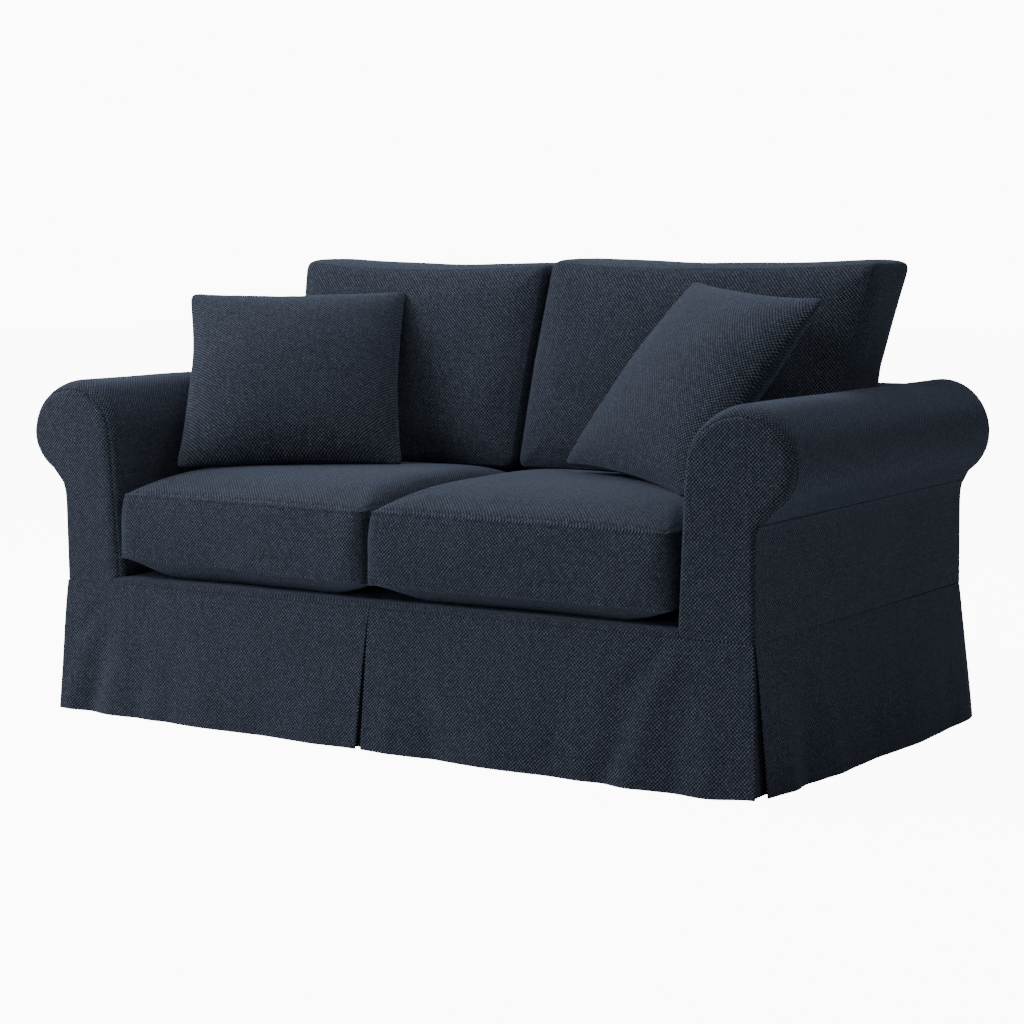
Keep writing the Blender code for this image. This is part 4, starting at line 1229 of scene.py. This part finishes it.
def round_box(point, half, radius):
    """Move a point of a block's surface onto the same block with rounded edges."""
    place = Vector([part * size for part, size in zip(point, half)])
    core = Vector([min(max(at, radius - size), size - radius) for at, size in zip(place, half)])
    return core + (place - core).normalized() * radius


def make_back_cushion(node, span, seed):
    half = Vector(((span["right"] - span["left"]) / 2, BACK_THICK / 2, (BACK_TOP - BACK_FOOT) / 2))
    middle = (span["right"] + span["left"]) / 2
    edge = [1 - BACK_ROUND / size for size in half]

    def shape(u, w, v):
        place = round_box((u, w, v), half, BACK_ROUND)
        swell = (1 - u ** 4) * (1 - v ** 4)
        if w < 0:
            place.y -= BACK_SWELL * swell * min(-w / edge[1], 1)
        if v > 0:
            place.z -= BACK_DIP * (1 - u * u) * v
        part = (place.z / half.z + 1) / 2
        out, tilt = (span[key][0] * (1 - u) / 2 + span[key][1] * (1 + u) / 2
                     for key in ("flare", "tilt"))
        height = place.z + half.z + tilt * part ** 2
        y = BACK_FRONT + BACK_THICK / 2 + FRAME_LEAN * height + place.y
        z = BACK_FOOT + height
        rise = max(part - 0.5, 0) * 2
        left, right = (inner_face_x(side, z, FRONT) - BACK_SQUEEZE for side in (-1, 1))
        return (min(max(middle + place.x + out * rise, -left), right), y, z)

    def detail(cube, points):
        return BACK_UNEVEN * unevenness(points, 0.17, seed)

    return make_cushion(node, tuple(half), (CUSHION_SPACING,) * 3, shape, detail, reach=0.004)


backs = [make_back_cushion(node, span, 91.0 + index)
         for index, (node, span) in enumerate(BACK_CUSHIONS.items())]
print("back cushions:", len(backs))

# %% [markdown]
# ### Throw cushions
# Two plain squares are sewn together round their edge and stuffed, so the middle is fat,
# the corners are thin and the sides are drawn in. Each leans in a corner of the seat.

# %% Throw cushions
THROW_THICK, THROW_RIM = 0.150, 0.003  # in the middle, and half of it at the rim
THROW_PULL = 0.016                     # the sides are drawn in this far
THROW_CORNER = 0.020                   # radius
THROW_PLUMP, THROW_FULL = 2.4, 0.6     # how far out it stays fat, and how roundly it thins
THROW_PUCKER, THROW_UNEVEN = 0.0012, 0.0025
# turn, lean and roll: degrees round the upright, across and front-to-back axes
THROWS = {
    "throw_cushion_left": dict(size=(0.478, 0.468), place=(-0.4897, -0.0662, 0.6894),
                               turn=34, lean=40, roll=0),
    "throw_cushion_right": dict(size=(0.469, 0.462), place=(0.4720, -0.0380, 0.6941),
                                turn=-27, lean=39, roll=-4.4),
}
THROW_CREASES = {
    "throw_cushion_left": table(
        CREASE,
        ((-0.03, -0.05, -0.175), (-0.028, -0.02, -0.225), 0.006, -0.003),
        ((0.04, -0.05, -0.170), (0.036, -0.02, -0.225), 0.006, -0.003),
        ((0.10, -0.04, -0.180), (0.100, -0.02, -0.225), 0.006, -0.002)),
    "throw_cushion_right": [],
}


def make_throw_cushion(node, pose, seed):
    half = (pose["size"][0] / 2, THROW_THICK / 2, pose["size"][1] / 2)
    turn = Matrix.Rotation(math.radians(pose["turn"]), 4, "Z")
    lean = Matrix.Rotation(-math.radians(pose["lean"]), 4, "X")
    roll = Matrix.Rotation(-math.radians(pose["roll"]), 4, "Y")
    placing = Matrix.Translation(pose["place"]) @ turn @ lean @ roll

    def shape(u, w, v):
        x = u * (half[0] - THROW_PULL * (1 - v * v))
        z = v * (half[2] - THROW_PULL * (1 - u * u))
        x, z = round_corner(x, z, half[0], half[2], THROW_CORNER)
        flat_u, flat_v = (max(1 - abs(part) ** THROW_PLUMP, 0.0) for part in (u, v))
        plump = (flat_u * flat_v) ** THROW_FULL
        return (x, w * (THROW_RIM + (half[1] - THROW_RIM) * plump), z)

    def detail(cube, points):
        gap = np.minimum((1 - abs(cube[:, 0])) * half[0], (1 - abs(cube[:, 2])) * half[2])
        near = np.exp(-gap / 0.03) * (1 - np.exp(-gap / 0.006))
        offset = THROW_PUCKER * near * unevenness(points, 0.018, seed)
        offset += THROW_UNEVEN * unevenness(points, 0.13, seed + 2.0)
        return offset + crease_height(points, THROW_CREASES[node])

    return make_cushion(node, half, (0.010, None, 0.010), shape, detail, reach=0.006,
                        placing=placing)


throws = [make_throw_cushion(node, pose, 101.0 + index)
          for index, (node, pose) in enumerate(THROWS.items())]
print("throw cushions:", len(throws))

# %% [markdown]
# ## Floor and light
# A product picture of this kind is lit mainly from the left by large soft lamps, and weaker
# ones and the room fill the shadows. The floor is plain and pale. It is made brighter for
# the camera than for the light that it throws back, so it reads as white paper and doesn't
# light the cover from below.

# %% Floor
FLOOR_SIDE = 40.0
FLOOR_GLOW = 10.4


def make_floor():
    select_only()
    bpy.ops.mesh.primitive_plane_add(size=FLOOR_SIDE)
    floor = bpy.context.object
    floor.name = floor.data.name = "studio_floor"
    material = bpy.data.materials.new("studio_paper")
    material.use_nodes = True
    tree = material.node_tree
    tree.nodes.remove(tree.nodes["Principled BSDF"])
    graph = Graph(tree)
    seen = graph.node("ShaderNodeLightPath")
    paper = graph.node("ShaderNodeBsdfDiffuse", sockets={"Color": (0.8, 0.8, 0.8, 1.0)})
    glow = graph.node("ShaderNodeEmission", sockets={"Strength": seen * FLOOR_GLOW})
    both = graph.node("ShaderNodeAddShader", sockets=[paper, glow])
    tree.links.new(both.socket, tree.nodes["Material Output"].inputs["Surface"])
    floor.data.materials.append(material)
    return floor


floor = make_floor()
print("floor:", floor.name)

# %% Lights
ROOM_LIGHT, ROOM_SEEN = 0.11, 11.0     # the room as it lights the cover, and as the camera sees it
LIGHTS = table(
    "name place target size power",
    ("key", (-3.6, -1.2, 2.6), (-0.2, 0.0, 0.4), 1.6, 63.0),
    ("near_left", (-1.2, -1.6, 1.7), (-0.4, -0.2, 0.5), 0.8, 8.5),
    ("far_left", (-6.0, -5.0, 5.0), (0.0, 0.0, 0.4), 3.0, 285.0),
    ("right", (3.6, -1.0, 2.6), (0.2, 0.0, 0.4), 1.6, 21.0),
    ("top", (-0.3, -0.2, 3.2), (0.0, 0.0, 0.4), 1.6, 26.0),
    ("top_back", (-0.3, 1.8, 2.8), (0.0, 0.0, 0.4), 1.6, 16.0),
    ("low_front", (-0.6, -4.0, 0.5), (0.0, 0.0, 0.4), 2.0, 16.0),
)


def add_area_light(name, place, target, size, power):
    """A round soft lamp that is aimed at a place. power is in watts."""
    lamp = bpy.data.lights.new(name, "AREA")
    lamp.shape = "DISK"
    lamp.size = size
    lamp.energy = power
    obj = bpy.data.objects.new(name, lamp)
    bpy.context.scene.collection.objects.link(obj)
    obj.location = place
    obj.rotation_euler = (Vector(target) - Vector(place)).to_track_quat("-Z", "Y").to_euler()


def make_room_light():
    world = bpy.data.worlds.new("room")
    world.use_nodes = True
    graph = Graph(world.node_tree)
    seen = graph.node("ShaderNodeLightPath")
    background = world.node_tree.nodes["Background"]
    background.inputs["Color"].default_value = (1.0, 1.0, 1.0, 1.0)
    strength = seen * (ROOM_SEEN - ROOM_LIGHT) + ROOM_LIGHT
    world.node_tree.links.new(strength.socket, background.inputs["Strength"])
    bpy.context.scene.world = world


for light in LIGHTS:
    add_area_light(**light)
make_room_light()
print("lights:", len(LIGHTS))
